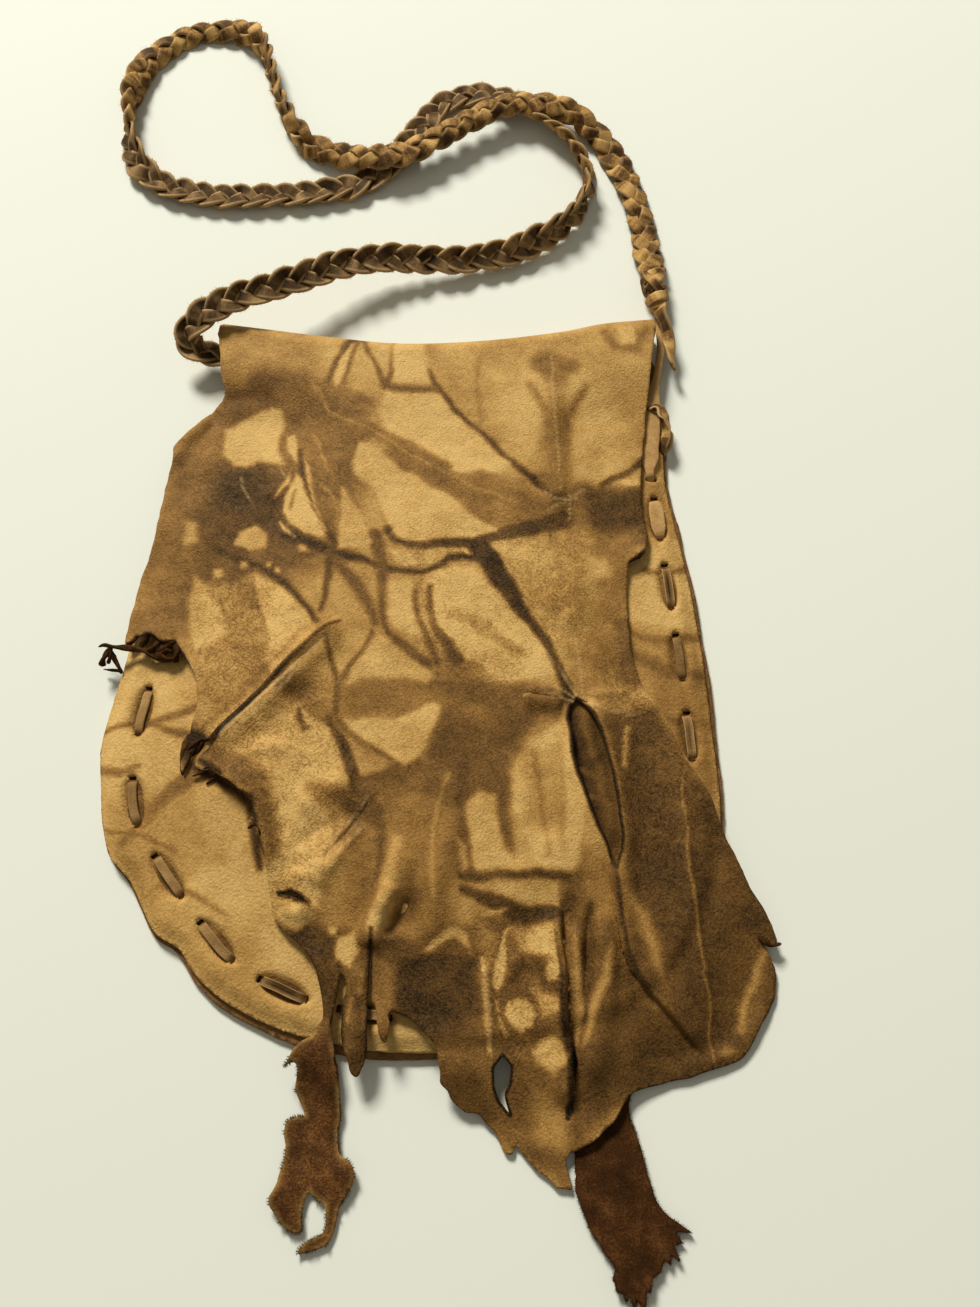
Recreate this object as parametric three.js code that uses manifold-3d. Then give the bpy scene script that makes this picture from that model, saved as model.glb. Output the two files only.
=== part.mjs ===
// A hand-laced hide pouch with a ragged flap, lying flap side up with its braided strap laid out.
// Millimetres. +X is to the right of the flap, +Y points from the pouch to the strap, +Z is up.
import * as THREE from 'three';
import { mergeVertices } from 'three/addons/utils/BufferGeometryUtils.js';
import Module from 'manifold-3d';

const wasm = await Module();
wasm.setup();

// Driving dimensions
const clearance = 0.3;
const hideThickness = 1.4;
const panelThickness = 1.4;
const pocketRise = 9;
const backMargin = 2;
const rimWidth = 30;
const riseRun = 30;
const overhangFlat = 12;
const overhangRun = 20;
const foldLeg = 6;
const foldLap = 2;

const laceThickness = 1.5;
const laceWidth = 6.2;
const laceWaist = 4.8;
const bandWidth = 8.6;
const laceKnotZ = 3;
const laceFloorGap = 0.1;
const seamInsetLeft = 12;
const seamInsetRight = 8.6;
const stitchLength = 18;
const bandStart = 8;

const edgeLoopLength = 15;
const edgeLoopThickness = 1.3;
const edgeLoopReach = 3;

const strapWidth = 10.4;
const strapThickness = 6;
const strapSteps = 78;
const knotLength = 17.7;
const knotWidth = 13;
const knotHeight = 9.4;
const stopKnotLength = 11;
const stopKnotWidth = 11;
const tailThickness = 2.2;

const cell = 14;

// Heights that follow from the sizes above
const backAtSeam = laceFloorGap + laceThickness + clearance;
const panelTopAtSeam = backAtSeam + hideThickness + clearance + panelThickness;
const laceUnderZ = laceFloorGap + laceThickness / 2;
const laceOverZ = panelTopAtSeam + clearance + laceThickness / 2;
const laceRoom = laceThickness + 2 * clearance;
const foldInside = hideThickness + pocketRise + panelThickness + clearance;
const foldOuterRadius = (foldInside + hideThickness) / 2;
const foldInnerRadius = foldOuterRadius - hideThickness;
const foldMiddleZ = foldOuterRadius;

// The edge of the laced body: down the left side, round the bottom and up the right side
const bodyEdge = [
  [-86, 134], [-93, 115], [-101, 84], [-108, 52], [-111.5, 30], [-114.6, 14], [-116.8, 1],
  [-115.4, -13], [-113, -28], [-109.5, -39], [-101.5, -48], [-97, -56], [-91, -66],
  [-82.5, -71], [-76, -80], [-67, -87.5], [-55, -94], [-44, -98.3], [-31, -101.5],
  [-14, -104.4], [6, -105], [26, -104.5], [46, -101.5], [64, -96], [80, -86], [92, -72],
  [100, -55], [104.5, -38], [106, -18], [104.8, 3], [103.6, 25], [101, 52], [97.5, 76],
  [93.5, 98], [92, 112], [92.5, 128],
];

// How far along the seam, from its upper left end, the middle of each hand-made stitch lies
const stitchMiddles = [
  23, 53, 83, 112.5, 146.5, 177, 206, 235, 264, 294, 324, 354, 385, 417, 450, 480.5, 509, 537.5,
];

// Upper edge of the front panel, the mouth of the pocket, from right to left
const mouthEdge = [[60, 131.5], [20, 133.5], [-20, 134.5], [-60, 135]];

// Side edges of the back panel between the seam's ends and the fold
const backRightShoulder = [[93, 140], [90.5, 148.5], [93, 157], [89.5, 165]];
const backLeftShoulder = [[-83, 164], [-82, 152], [-84, 143]];

// The line along the outermost part of the fold, from left to right
const foldLine = [
  [-84, 177.2], [-64, 174.4], [-40, 171], [-12, 168], [20, 169.2], [52, 173.4], [70, 177.6], [90, 179.6],
];

// The flap's ragged outline, from the fold's right end clockwise, with its tags and hanging strips
const flapRightSide = [
  [89.5, 165], [87.8, 153], [86.6, 144], [84.4, 125], [82.6, 106], [82.4, 93], [84, 83],
  [82.6, 77], [76.4, 71.8], [75, 58], [75.2, 42], [77.5, 28], [80, 20], [87, 10], [94, -7],
  [101.6, -19], [110, -41], [118.6, -58], [121, -63], [124, -69], [121, -71.4], [115.6, -66.4],
  [120, -73], [122.4, -80], [121, -87], [115.6, -95.4], [110.4, -104], [106, -108.2],
  [96, -110.8], [80, -115], [69.2, -118.6],
];
const tailStrip = [
  [71.5, -128], [74.5, -140], [77, -150], [79.4, -153.6], [88.9, -160], [83, -160], [80.4, -163],
  [84.6, -168.6], [79.4, -168], [75.4, -172.5], [74, -182.6], [70.5, -180.4], [68, -182],
  [66.5, -178.8], [63.4, -176], [62.6, -171.6], [63.6, -169.8], [59.8, -164.8], [55.6, -158],
  [53.2, -151.6], [51.4, -147.2],
];
const flapBottom = [
  [45.4, -146.6], [42.4, -143.6], [39, -141], [32.2, -133.6], [31.6, -136.8], [28.4, -136.4],
  [25.6, -129.4], [20, -124], [16, -123.6], [11.2, -119.6], [7, -114.4], [7.8, -110],
  [6.4, -102.4], [0.8, -97.2], [-6.8, -92.6], [-9.8, -92.4], [-9.4, -97], [-10.6, -102.6],
  [-12.6, -100.4], [-13.8, -92], [-15.2, -86.5], [-16, -84], [-16.4, -95], [-17, -107.8],
  [-19.4, -113.4], [-22.4, -110.6], [-25, -100.6], [-25.6, -91], [-23.6, -84.6], [-24, -80],
];
const narrowStrip = [
  [-27.6, -79.4], [-27.6, -90], [-28.8, -98], [-26.4, -110], [-25.2, -122], [-25.9, -130],
  [-25, -136.6], [-20.4, -139.6], [-19.8, -143.6], [-22.6, -149.4], [-24.6, -153], [-25.8, -159.6],
  [-28, -163.4], [-33, -165.6], [-37.6, -166.4], [-34.4, -162.2], [-29.6, -160.2], [-28.9, -151.6],
  [-31.6, -150.4], [-34.4, -147.6], [-36.6, -153], [-36.4, -160], [-40.4, -159.6], [-44.8, -154.2],
  [-47.4, -149.8], [-45.2, -146.2], [-43.6, -138], [-42.6, -133], [-43.6, -128], [-40.4, -124.8],
  [-36.8, -124.2], [-40, -117], [-39.8, -108.4], [-44.2, -109.4], [-40, -102.4], [-34.8, -99.4],
  [-31.2, -93.6],
];
const flapLeftSide = [
  [-32.4, -84.6], [-36.2, -74.4], [-41, -69.6], [-50, -61.4], [-51.8, -50], [-54.2, -39],
  [-55.4, -33], [-59.6, -30.4], [-58.2, -26.4], [-58.8, -21.4], [-62.6, -18.2], [-71.2, -12.2],
  [-78, -10], [-81, -7.6], [-76, -1.4], [-79.8, 1], [-82.2, -3.6], [-85.4, -10.8], [-86.6, -1],
  [-83.6, 4], [-82.4, 11], [-82, 18], [-83, 26], [-88, 34.6], [-91.6, 31.6], [-98, 31.6],
  [-108, 34], [-113, 33.4], [-117.6, 33.4], [-121.4, 27.6], [-124, 30.2], [-120, 38.6],
  [-112, 38.2], [-110, 47], [-107.2, 67.4], [-104, 82], [-102, 102], [-100.8, 112], [-99.4, 121.6],
  [-90, 132], [-84.4, 137.4], [-81.6, 142], [-83, 153], [-83.6, 163],
];

// Openings through the flap: the long slit, the small hole, the gap beside the cone, a short tear
const longSlit = [
  [55.4, 16.2], [52.2, 10], [53.2, 3], [53.8, -5], [57.2, -16.5], [59.6, -24], [62.6, -31.2],
  [66, -38.6], [67.8, -43.6], [70, -37], [69, -26], [67.2, -11.4], [65.2, -3.2], [62, 8],
];
const smallHole = [
  [28.2, -106.2], [25.4, -109.8], [25.6, -115.6], [27.2, -120], [30.4, -124], [29.4, -119.6], [30.8, -112],
];
const coneGap = [
  [50.9, -101.4], [49.9, -110], [50, -118], [49.8, -126], [51.4, -119], [52.2, -111], [52.4, -105.4],
];
const shortTear = [[-48.4, -52.6], [-44, -54.4], [-39.2, -55.2], [-43.6, -52.2]];
const shredGap = [[-108, 37.8], [-104, 36.4], [-96.4, 34.6], [-97.2, 37.6], [-101.4, 39.4], [-105.6, 42.6]];

// Standing folds of the flap: from, to, height and half width of each
const flapFolds = [
  { from: [-66, 1], to: [-34, 39], height: 4.5, width: 9 },
  { from: [-82, 10], to: [-50, 41], height: 2.5, width: 9 },
  { from: [60, -48], to: [66, -76], height: 3, width: 8 },
  { from: [92.5, -10], to: [97, -104], height: 2.2, width: 7 },
  { from: [55, -62], to: [56, -112], height: 5, width: 9 },
  { from: [-16, -64], to: [-6, -44], height: 3, width: 8 },
  { from: [22, -72], to: [23, -116], height: 2.5, width: 8 },
  { from: [40, 14], to: [76, 15], height: 2.5, width: 8 },
];

// Centre line of the laid-out strap, from the knot at the right to inside the fold at the left
const strapRoute = [
  [91, 205, 5.2], [89.5, 225, 3.8], [86, 245, 3.4], [79, 266, 3.4], [69, 280, 5.2],
  [57, 288, 8.8], [41, 291, 10.4], [24, 287, 10.2], [-7, 267, 10.2], [-22, 262.5, 10],
  [-38, 265, 6], [-53, 271, 3.4], [-64, 284, 3.4], [-72, 307, 3.4], [-79, 327, 3.4],
  [-92, 337.5, 3.4], [-111, 337, 3.4], [-127, 322, 3.4], [-133.5, 300, 3.4], [-132.5, 274, 3.4],
  [-121, 254.5, 3.4], [-98, 246.8, 3.4], [-66, 246, 3.4], [-36, 251.2, 3.4], [-18, 264, 3.4],
  [-7, 282, 3.4], [5, 297, 3.4], [23, 301.3, 3.4], [41, 292, 3.4], [57, 276, 3.4],
  [66.3, 254, 3.4], [58, 233, 3.4], [36, 217, 3.4], [8, 210.5, 4.8], [-26, 207, 10],
  [-57, 192.5, 15.2], [-83, 179.5, 18.4], [-98, 169.5, 12.5], [-88, 164, 7.2], [-70, 165, 6.75],
];

// The lacing's way from the top of the seam to the strap's knot, and the loose tail beside it
const leadIn = [[86.6, 112], [87, 128], [88.4, 142], [91.6, 156], [93.6, 170], [93.6, 186.7]];
const tailRoute = [[94.4, 186.6, 7], [96.4, 176, 7.6], [97.2, 166, 7.2], [97.4, 157, 6.4]];

// Small geometry helpers
const { smoothstep, lerp } = THREE.MathUtils;
const toVectors = (points) => points.map(([x, y]) => new THREE.Vector2(x, y));
const rise = (start, run, value) => smoothstep(value, start, start + run);

function toSolid(geometry) {
  const bare = geometry.index ? geometry.clone() : geometry;
  bare.deleteAttribute('normal');
  bare.deleteAttribute('uv');
  const merged = mergeVertices(bare, 1e-5);
  return new wasm.Manifold(new wasm.Mesh({
    numProp: 3,
    vertProperties: new Float32Array(merged.attributes.position.array),
    triVerts: new Uint32Array(merged.index.array),
  }));
}

function toGeometry(solid) {
  const { numProp, vertProperties, triVerts } = solid.getMesh();
  const geometry = new THREE.BufferGeometry();
  const positions = new Float32Array((vertProperties.length / numProp) * 3);
  for (let i = 0; i < positions.length / 3; i += 1) {
    positions.set(vertProperties.subarray(i * numProp, i * numProp + 3), i * 3);
  }
  geometry.setAttribute('position', new THREE.BufferAttribute(positions, 3));
  geometry.setIndex(new THREE.BufferAttribute(new Uint32Array(triVerts), 1));
  return geometry;
}

// A closed skin over a row of equal-length rings, with a flat cap on the first and the last
function loftGeometry(rings) {
  const count = rings[0].length;
  const positions = rings.flat().flatMap((point) => [point.x, point.y, point.z]);
  const indices = [];
  for (let ring = 0; ring < rings.length - 1; ring += 1) {
    for (let i = 0; i < count; i += 1) {
      const a = ring * count + i;
      const b = ring * count + ((i + 1) % count);
      indices.push(a, b, b + count, a, b + count, a + count);
    }
  }
  const capTriangles = (ring) => {
    const along = ring === 0 ? rings[1][0].clone().sub(rings[0][0]) : rings[ring][0].clone().sub(rings[ring - 1][0]);
    const first = rings[ring][0];
    let across = rings[ring][1].clone().sub(first);
    const normal = along.normalize();
    across = across.addScaledVector(normal, -across.dot(normal)).normalize();
    const upward = normal.clone().cross(across);
    const flat = rings[ring].map((point) => {
      const offset = point.clone().sub(first);
      return new THREE.Vector2(offset.dot(across), offset.dot(upward));
    });
    return THREE.ShapeUtils.triangulateShape(flat, []);
  };
  const lastStart = (rings.length - 1) * count;
  const forward = (triangle) => signedArea(triangle, rings, 0);
  for (const [a, b, c] of capTriangles(0)) {
    indices.push(...(forward([a, b, c]) ? [a, c, b] : [a, b, c]));
  }
  for (const [a, b, c] of capTriangles(rings.length - 1)) {
    const turned = signedArea([a, b, c], rings, rings.length - 1);
    indices.push(...(turned ? [a, b, c] : [a, c, b]).map((i) => i + lastStart));
  }
  const geometry = new THREE.BufferGeometry();
  geometry.setAttribute('position', new THREE.Float32BufferAttribute(positions, 3));
  geometry.setIndex(indices);
  return orientOutward(geometry);
}

// Whether a cap triangle runs the same way round as its ring
function signedArea([a, b, c], rings, ring) {
  const count = rings[0].length;
  const steps = ((b - a + count) % count) + ((c - b + count) % count) + ((a - c + count) % count);
  return steps === count;
}

// Turns every face round if the closed skin came out inside out
function orientOutward(geometry) {
  const { array } = geometry.attributes.position;
  const index = geometry.index.array;
  let volume = 0;
  const corner = [new THREE.Vector3(), new THREE.Vector3(), new THREE.Vector3()];
  for (let i = 0; i < index.length; i += 3) {
    corner.forEach((point, k) => point.fromArray(array, index[i + k] * 3));
    volume += corner[0].dot(corner[1].clone().cross(corner[2]));
  }
  if (volume < 0) {
    for (let i = 0; i < index.length; i += 3) {
      const swap = index[i + 1];
      index[i + 1] = index[i + 2];
      index[i + 2] = swap;
    }
  }
  return geometry;
}

// An upright prism of a flat outline with holes, tall enough to cut any sheet of the pouch
function prism(outline, holes = []) {
  const shape = new THREE.Shape(outline);
  holes.forEach((hole) => shape.holes.push(new THREE.Path(hole)));
  const depth = 4 * foldInside;
  const geometry = new THREE.ExtrudeGeometry(shape, { depth, bevelEnabled: false, steps: 1 });
  geometry.translate(0, 0, -depth / 4);
  return toSolid(geometry);
}

// A sheet whose underside follows height(x, y), trimmed to an outline with holes
function drapedSheet(height, thickness, outline, holes = []) {
  const box = new THREE.Box2().setFromPoints(outline);
  const low = [Math.floor(box.min.x / cell) - 1, Math.floor(box.min.y / cell) - 1];
  const columns = Math.ceil(box.max.x / cell) + 1 - low[0];
  const rows = Math.ceil(box.max.y / cell) + 1 - low[1];
  const positions = [];
  for (const lift of [0, thickness]) {
    for (let row = 0; row <= rows; row += 1) {
      for (let column = 0; column <= columns; column += 1) {
        const x = (low[0] + column) * cell;
        const y = (low[1] + row) * cell;
        positions.push(x, y, height(x, y) + lift);
      }
    }
  }
  const layer = (rows + 1) * (columns + 1);
  const at = (row, column) => row * (columns + 1) + column;
  const indices = [];
  for (let row = 0; row < rows; row += 1) {
    for (let column = 0; column < columns; column += 1) {
      const [a, b] = [at(row, column), at(row, column + 1)];
      const [c, d] = [at(row + 1, column + 1), at(row + 1, column)];
      indices.push(a, c, b, a, d, c);
      indices.push(a + layer, b + layer, c + layer, a + layer, c + layer, d + layer);
    }
  }
  const rim = [];
  for (let column = 0; column < columns; column += 1) rim.push(at(0, column));
  for (let row = 0; row < rows; row += 1) rim.push(at(row, columns));
  for (let column = columns; column > 0; column -= 1) rim.push(at(rows, column));
  for (let row = rows; row > 0; row -= 1) rim.push(at(row, 0));
  rim.forEach((a, i) => {
    const b = rim[(i + 1) % rim.length];
    indices.push(a, b, b + layer, a, b + layer, a + layer);
  });
  const geometry = new THREE.BufferGeometry();
  geometry.setAttribute('position', new THREE.Float32BufferAttribute(positions, 3));
  geometry.setIndex(indices);
  return toSolid(geometry).intersect(prism(outline, holes));
}

// The body's edge as a smooth line, the fold line, and places measured from them
const edgeSpline = new THREE.SplineCurve(toVectors(bodyEdge));
const edgeLine = edgeSpline.getSpacedPoints(80);
const foldSpline = new THREE.SplineCurve(toVectors(foldLine));
const foldPoints = foldSpline.getSpacedPoints(14);
const bodyRegion = [...edgeLine, new THREE.Vector2(92.5, 400), new THREE.Vector2(-86, 400)];

function foldY(x) {
  const next = foldPoints.findIndex((point) => point.x >= x);
  if (next < 1) return next === 0 ? foldPoints[0].y : foldPoints.at(-1).y;
  const [a, b] = [foldPoints[next - 1], foldPoints[next]];
  return lerp(a.y, b.y, (x - a.x) / (b.x - a.x));
}

function segmentDistance(x, y, a, b) {
  const along = b.clone().sub(a);
  const offset = new THREE.Vector2(x, y).sub(a);
  const share = THREE.MathUtils.clamp(offset.dot(along) / along.lengthSq(), 0, 1);
  return offset.addScaledVector(along, -share).length();
}

function isInside(x, y, region) {
  let inside = false;
  region.forEach((a, i) => {
    const b = region[(i + 1) % region.length];
    if ((a.y > y) !== (b.y > y) && x < lerp(a.x, b.x, (y - a.y) / (b.y - a.y))) inside = !inside;
  });
  return inside;
}

// Distance from the laced edge, positive over the pocket and negative outside it
function edgeDistance(x, y) {
  let nearest = Infinity;
  for (let i = 1; i < edgeLine.length; i += 1) {
    nearest = Math.min(nearest, segmentDistance(x, y, edgeLine[i - 1], edgeLine[i]));
  }
  return isInside(x, y, bodyRegion) ? nearest : -nearest;
}

const nearFold = (x, y) => rise(foldY(x) - 40, 26, y);

// Undersides of the three layers: the back panel, the front panel and the flap
function backHeight(x, y) {
  const inward = rise(rimWidth, riseRun, Math.abs(edgeDistance(x, y)));
  return backAtSeam * (1 - inward) * (1 - nearFold(x, y));
}

function panelHeight(x, y) {
  const belly = pocketRise - clearance;
  return backHeight(x, y) + hideThickness + clearance + belly * rise(rimWidth, riseRun, edgeDistance(x, y));
}

function flapHeight(x, y) {
  const distance = edgeDistance(x, y);
  const overLace = lerp(laceRoom, clearance, rise(rimWidth, riseRun, distance));
  const onPanel = panelHeight(x, y) + panelThickness + overLace;
  const hanging = lerp(onPanel, clearance, rise(overhangFlat, overhangRun, -distance));
  const folds = flapFolds.map(({ from, to, height, width }) => {
    const away = segmentDistance(x, y, ...toVectors([from, to]));
    return height * (1 - rise(0, width * 2, away));
  });
  return lerp(hanging + Math.max(...folds), foldInside, nearFold(x, y));
}

// The back panel, the fold and the flap are one hide
function makeHide() {
  const belowFold = (point, x = point.x) => new THREE.Vector2(x, point.y - foldOuterRadius - foldLap);
  const foldRow = foldPoints.map((point) => belowFold(point));
  const backEdge = edgeLine.map((point, i) => {
    const before = edgeLine[Math.max(i - 1, 0)];
    const after = edgeLine[Math.min(i + 1, edgeLine.length - 1)];
    const along = after.clone().sub(before).normalize();
    return point.clone().add(new THREE.Vector2(along.y, -along.x).multiplyScalar(backMargin));
  });
  const backOutline = [
    ...backEdge, ...toVectors(backRightShoulder), ...foldRow.toReversed(), ...toVectors(backLeftShoulder),
  ];
  const back = drapedSheet(backHeight, hideThickness, backOutline, slitHoles);

  const flapOutline = [
    ...foldRow,
    ...toVectors([...flapRightSide, ...tailStrip, ...flapBottom, ...narrowStrip, ...flapLeftSide]),
  ];
  const holes = [longSlit, smallHole, coneGap, shortTear, shredGap].map(toVectors);
  const flap = drapedSheet(flapHeight, hideThickness, flapOutline, holes);

  const bend = (radius) => Array.from({ length: 9 }, (_, i) => {
    const angle = (i / 8 - 0.5) * Math.PI;
    return [radius * Math.cos(angle), foldMiddleZ + radius * Math.sin(angle)];
  });
  const outside = [[-foldLeg, 0], ...bend(foldOuterRadius), [-foldLeg, 2 * foldOuterRadius]];
  const inside = [[-foldLeg, foldInside], ...bend(foldInnerRadius).toReversed(), [-foldLeg, hideThickness]];
  const rings = foldPoints.map(({ x, y }) => [...outside, ...inside].map(
    ([forward, z]) => new THREE.Vector3(x, y - foldOuterRadius + forward, z),
  ));
  return toSolid(loftGeometry(rings)).add(back).add(flap);
}

// The seam runs inside the edge, then on to the strap's knot
const seamSpline = (() => {
  const inset = edgeLine.filter((_, i) => i % 3 === 1).map((point, i, row) => {
    const before = row[Math.max(i - 1, 0)];
    const after = row[Math.min(i + 1, row.length - 1)];
    const along = after.clone().sub(before).normalize();
    const share = i / (row.length - 1);
    const distance = lerp(seamInsetLeft, seamInsetRight, smoothstep(share, 0.4, 0.6));
    return point.clone().add(new THREE.Vector2(-along.y, along.x).multiplyScalar(distance));
  });
  return new THREE.SplineCurve([...inset.slice(0, -3), ...toVectors(leadIn)]);
})();
seamSpline.arcLengthDivisions = 800;
const seamLength = seamSpline.getLength();
const seamAt = (distance) => {
  const share = THREE.MathUtils.clamp(distance / seamLength, 0, 1);
  const tangent = seamSpline.getTangentAt(share);
  return { point: seamSpline.getPointAt(share), side: new THREE.Vector2(-tangent.y, tangent.x) };
};
const stitches = stitchMiddles.map((middle) => [middle - stitchLength / 2, middle + stitchLength / 2]);
const bandSlit = stitches.at(-1)[1] + bandStart;

// Slits through both panels at the ends of each stitch
const slitLength = laceThickness + 2 * clearance + 0.1;
const slitWidth = laceWaist + 2 * clearance;
const slitAt = (distance) => {
  const corners = [[-1, -1], [1, -1], [1, 1], [-1, 1]];
  const { point, side } = seamAt(distance);
  const along = new THREE.Vector2(side.y, -side.x);
  return corners.map(([u, v]) => point.clone()
    .addScaledVector(along, (u * slitLength) / 2)
    .addScaledVector(side, (v * slitWidth) / 2));
};
const slitHoles = [...stitches.flat().slice(1), bandSlit].map(slitAt);

function makeFrontPanel() {
  return drapedSheet(panelHeight, panelThickness, [...edgeLine, ...toVectors(mouthEdge)], slitHoles);
}

// The lacing as a flat ribbon: stations of distance along the seam, height and width
function laceStations() {
  const half = { wide: laceWidth / 2, waist: laceWaist / 2 };
  const corner = laceThickness / 3;
  const stations = [];
  const dive = (distance, from, to) => {
    const way = Math.sign(to - from);
    stations.push([distance - corner, from, half.waist], [distance, from + way * corner, half.waist]);
    stations.push([distance, to - way * corner, half.waist], [distance + corner, to, half.waist]);
  };
  stitches.forEach(([start, end], i) => {
    if (i > 0) dive(start, laceUnderZ, laceOverZ);
    else stations.push([start, laceOverZ, half.waist]);
    stations.push([lerp(start, end, 0.3), laceOverZ, half.wide], [lerp(start, end, 0.7), laceOverZ, half.wide]);
    dive(end, laceOverZ, laceUnderZ);
  });
  dive(bandSlit, laceUnderZ, laceOverZ);
  const beyond = seamLength - bandSlit;
  const band = [[0.1, bandWidth], [0.3, bandWidth], [0.45, laceWidth], [0.6, laceWidth]];
  band.forEach(([share, width]) => stations.push([bandSlit + share * beyond, laceOverZ, width / 2]));
  stations.push([bandSlit + 0.78 * beyond, lerp(laceOverZ, laceKnotZ, 0.6), half.waist]);
  stations.push([bandSlit + 0.9 * beyond, laceKnotZ, half.waist], [seamLength, laceKnotZ, half.waist]);
  return stations;
}

function makeLace() {
  const stations = laceStations();
  const rings = stations.map(([distance, z, halfWidth], i) => {
    const [d0, z0] = stations[Math.max(i - 1, 0)];
    const [d1, z1] = stations[Math.min(i + 1, stations.length - 1)];
    const before = new THREE.Vector2(distance - d0, z - z0).normalize();
    const after = new THREE.Vector2(d1 - distance, z1 - z).normalize();
    const mitre = before.clone().add(after).normalize();
    const reach = laceThickness / 2 / Math.max(mitre.dot(i > 0 ? before : after), 0.5);
    return [[-1, -1], [1, -1], [1, 1], [-1, 1]].map(([u, v]) => {
      const { point, side } = seamAt(distance - v * reach * mitre.y);
      return new THREE.Vector3(
        point.x + u * halfWidth * side.x,
        point.y + u * halfWidth * side.y,
        z + v * reach * mitre.x,
      );
    });
  });
  return toSolid(loftGeometry(rings));
}

// A short strip bent round the edges of both panels above the first stitch
function makeEdgeLoop() {
  const { x } = edgeLine.at(-1);
  const right = x + backMargin + clearance;
  const left = right - edgeLoopReach;
  const [low, high] = [backAtSeam - clearance, panelTopAtSeam + clearance];
  const outline = [
    [left, low - edgeLoopThickness], [right, low - edgeLoopThickness],
    [right + edgeLoopThickness, low], [right + edgeLoopThickness, high],
    [right, high + edgeLoopThickness], [left, high + edgeLoopThickness],
    [left, high], [right, high], [right, low], [left, low],
  ];
  const shape = new THREE.Shape(toVectors(outline));
  const geometry = new THREE.ExtrudeGeometry(shape, { depth: edgeLoopLength, bevelEnabled: false });
  geometry.rotateX(Math.PI / 2);
  geometry.translate(0, edgeLine.at(-1).y + edgeLoopLength / 2, 0);
  return toSolid(geometry);
}

// The braided strap's plain form: a flat oval tube along its route
function makeStrap() {
  const oval = new THREE.Shape(Array.from({ length: 8 }, (_, i) => {
    const angle = ((i + 0.5) / 8) * 2 * Math.PI;
    return new THREE.Vector2((strapThickness / 2) * Math.cos(angle), (strapWidth / 2) * Math.sin(angle));
  }));
  const route = new THREE.CatmullRomCurve3(
    strapRoute.map((point) => new THREE.Vector3(...point)), false, 'catmullrom', 0.5,
  );
  route.arcLengthDivisions = 800;
  const geometry = new THREE.ExtrudeGeometry(oval, { steps: strapSteps, extrudePath: route, bevelEnabled: false });
  return toSolid(geometry);
}

// A knot with three turns, lathed about its length and pressed flat
function knotGeometry(length, width, height) {
  const profile = [[0, -0.5], [0.52, -0.5], [0.86, -0.36], [0.74, -0.2], [1, -0.04], [0.78, 0.14],
    [0.94, 0.3], [0.6, 0.5], [0, 0.5]];
  const points = profile.map(([r, y]) => new THREE.Vector2((r * width) / 2, y * length));
  const geometry = new THREE.LatheGeometry(points, 14);
  geometry.scale(1, 1, height / width);
  return geometry;
}

function makeStrapKnot() {
  const [x, y] = strapRoute[0];
  const geometry = knotGeometry(knotLength, knotWidth, knotHeight);
  geometry.translate(x + 1, y - clearance - knotLength / 2, knotHeight / 2 + clearance);
  return toSolid(geometry);
}

function makeStopKnot() {
  const [x, y, z] = strapRoute.at(-1);
  const height = foldInside - hideThickness - 2 * clearance;
  const geometry = knotGeometry(stopKnotLength, stopKnotWidth, height);
  geometry.rotateZ(Math.PI / 2);
  geometry.translate(x + clearance + stopKnotLength / 2, y, z);
  return toSolid(geometry);
}

// The loose ends of the braid below the knot, drawn out to a tip
function makeStrapTail() {
  const route = new THREE.CatmullRomCurve3(tailRoute.map((point) => new THREE.Vector3(...point)));
  const rings = Array.from({ length: 9 }, (_, i) => {
    const point = route.getPointAt(i / 8);
    const tangent = route.getTangentAt(i / 8);
    const side = new THREE.Vector3(tangent.y, -tangent.x, 0).normalize();
    const half = lerp(laceWidth / 2, laceWidth / 5, smoothstep(i / 8, 0.4, 1));
    return [[-1, -1], [1, -1], [1, 1], [-1, 1]].map(([u, v]) => point.clone()
      .addScaledVector(side, u * half)
      .add(new THREE.Vector3(0, 0, (v * tailThickness) / 2)));
  });
  return toSolid(loftGeometry(rings));
}

// Materials, one for each finish
const leather = (color, roughness) => new THREE.MeshStandardMaterial({ color, roughness, metalness: 0 });
const dyedHide = leather(0xb08a52, 0.78);
const paleHide = leather(0xcdb079, 0.76);
const laceHide = leather(0x957048, 0.82);
const strapHide = leather(0x8a6338, 0.84);

const pouch = new THREE.Group();
const parts = [
  ['hide', makeHide, dyedHide],
  ['front_panel', makeFrontPanel, paleHide],
  ['lacing', makeLace, laceHide],
  ['edge_loop', makeEdgeLoop, laceHide],
  ['strap', makeStrap, strapHide],
  ['strap_knot', makeStrapKnot, strapHide],
  ['strap_tail', makeStrapTail, strapHide],
  ['strap_stop_knot', makeStopKnot, strapHide],
];
for (const [name, make, material] of parts) {
  const mesh = new THREE.Mesh(toGeometry(make()), material);
  mesh.name = name;
  pouch.add(mesh);
}

export default pouch;
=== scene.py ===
# %% [markdown]
# # A hand-laced hide pouch
#
# The pouch lies on its back panel with its flap turned over the front. One soft tan hide makes
# the back, the rolled fold and the ragged flap. A second piece makes the front panel, and a flat
# thong laces the two together. A braided strap lies in loops above it. The imported solids give
# the frame that every piece is built in, so they are loaded first.

# %% Load the frame
import math

import bpy
import numpy as np
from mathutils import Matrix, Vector, kdtree
from mathutils.geometry import delaunay_2d_cdt


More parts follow.
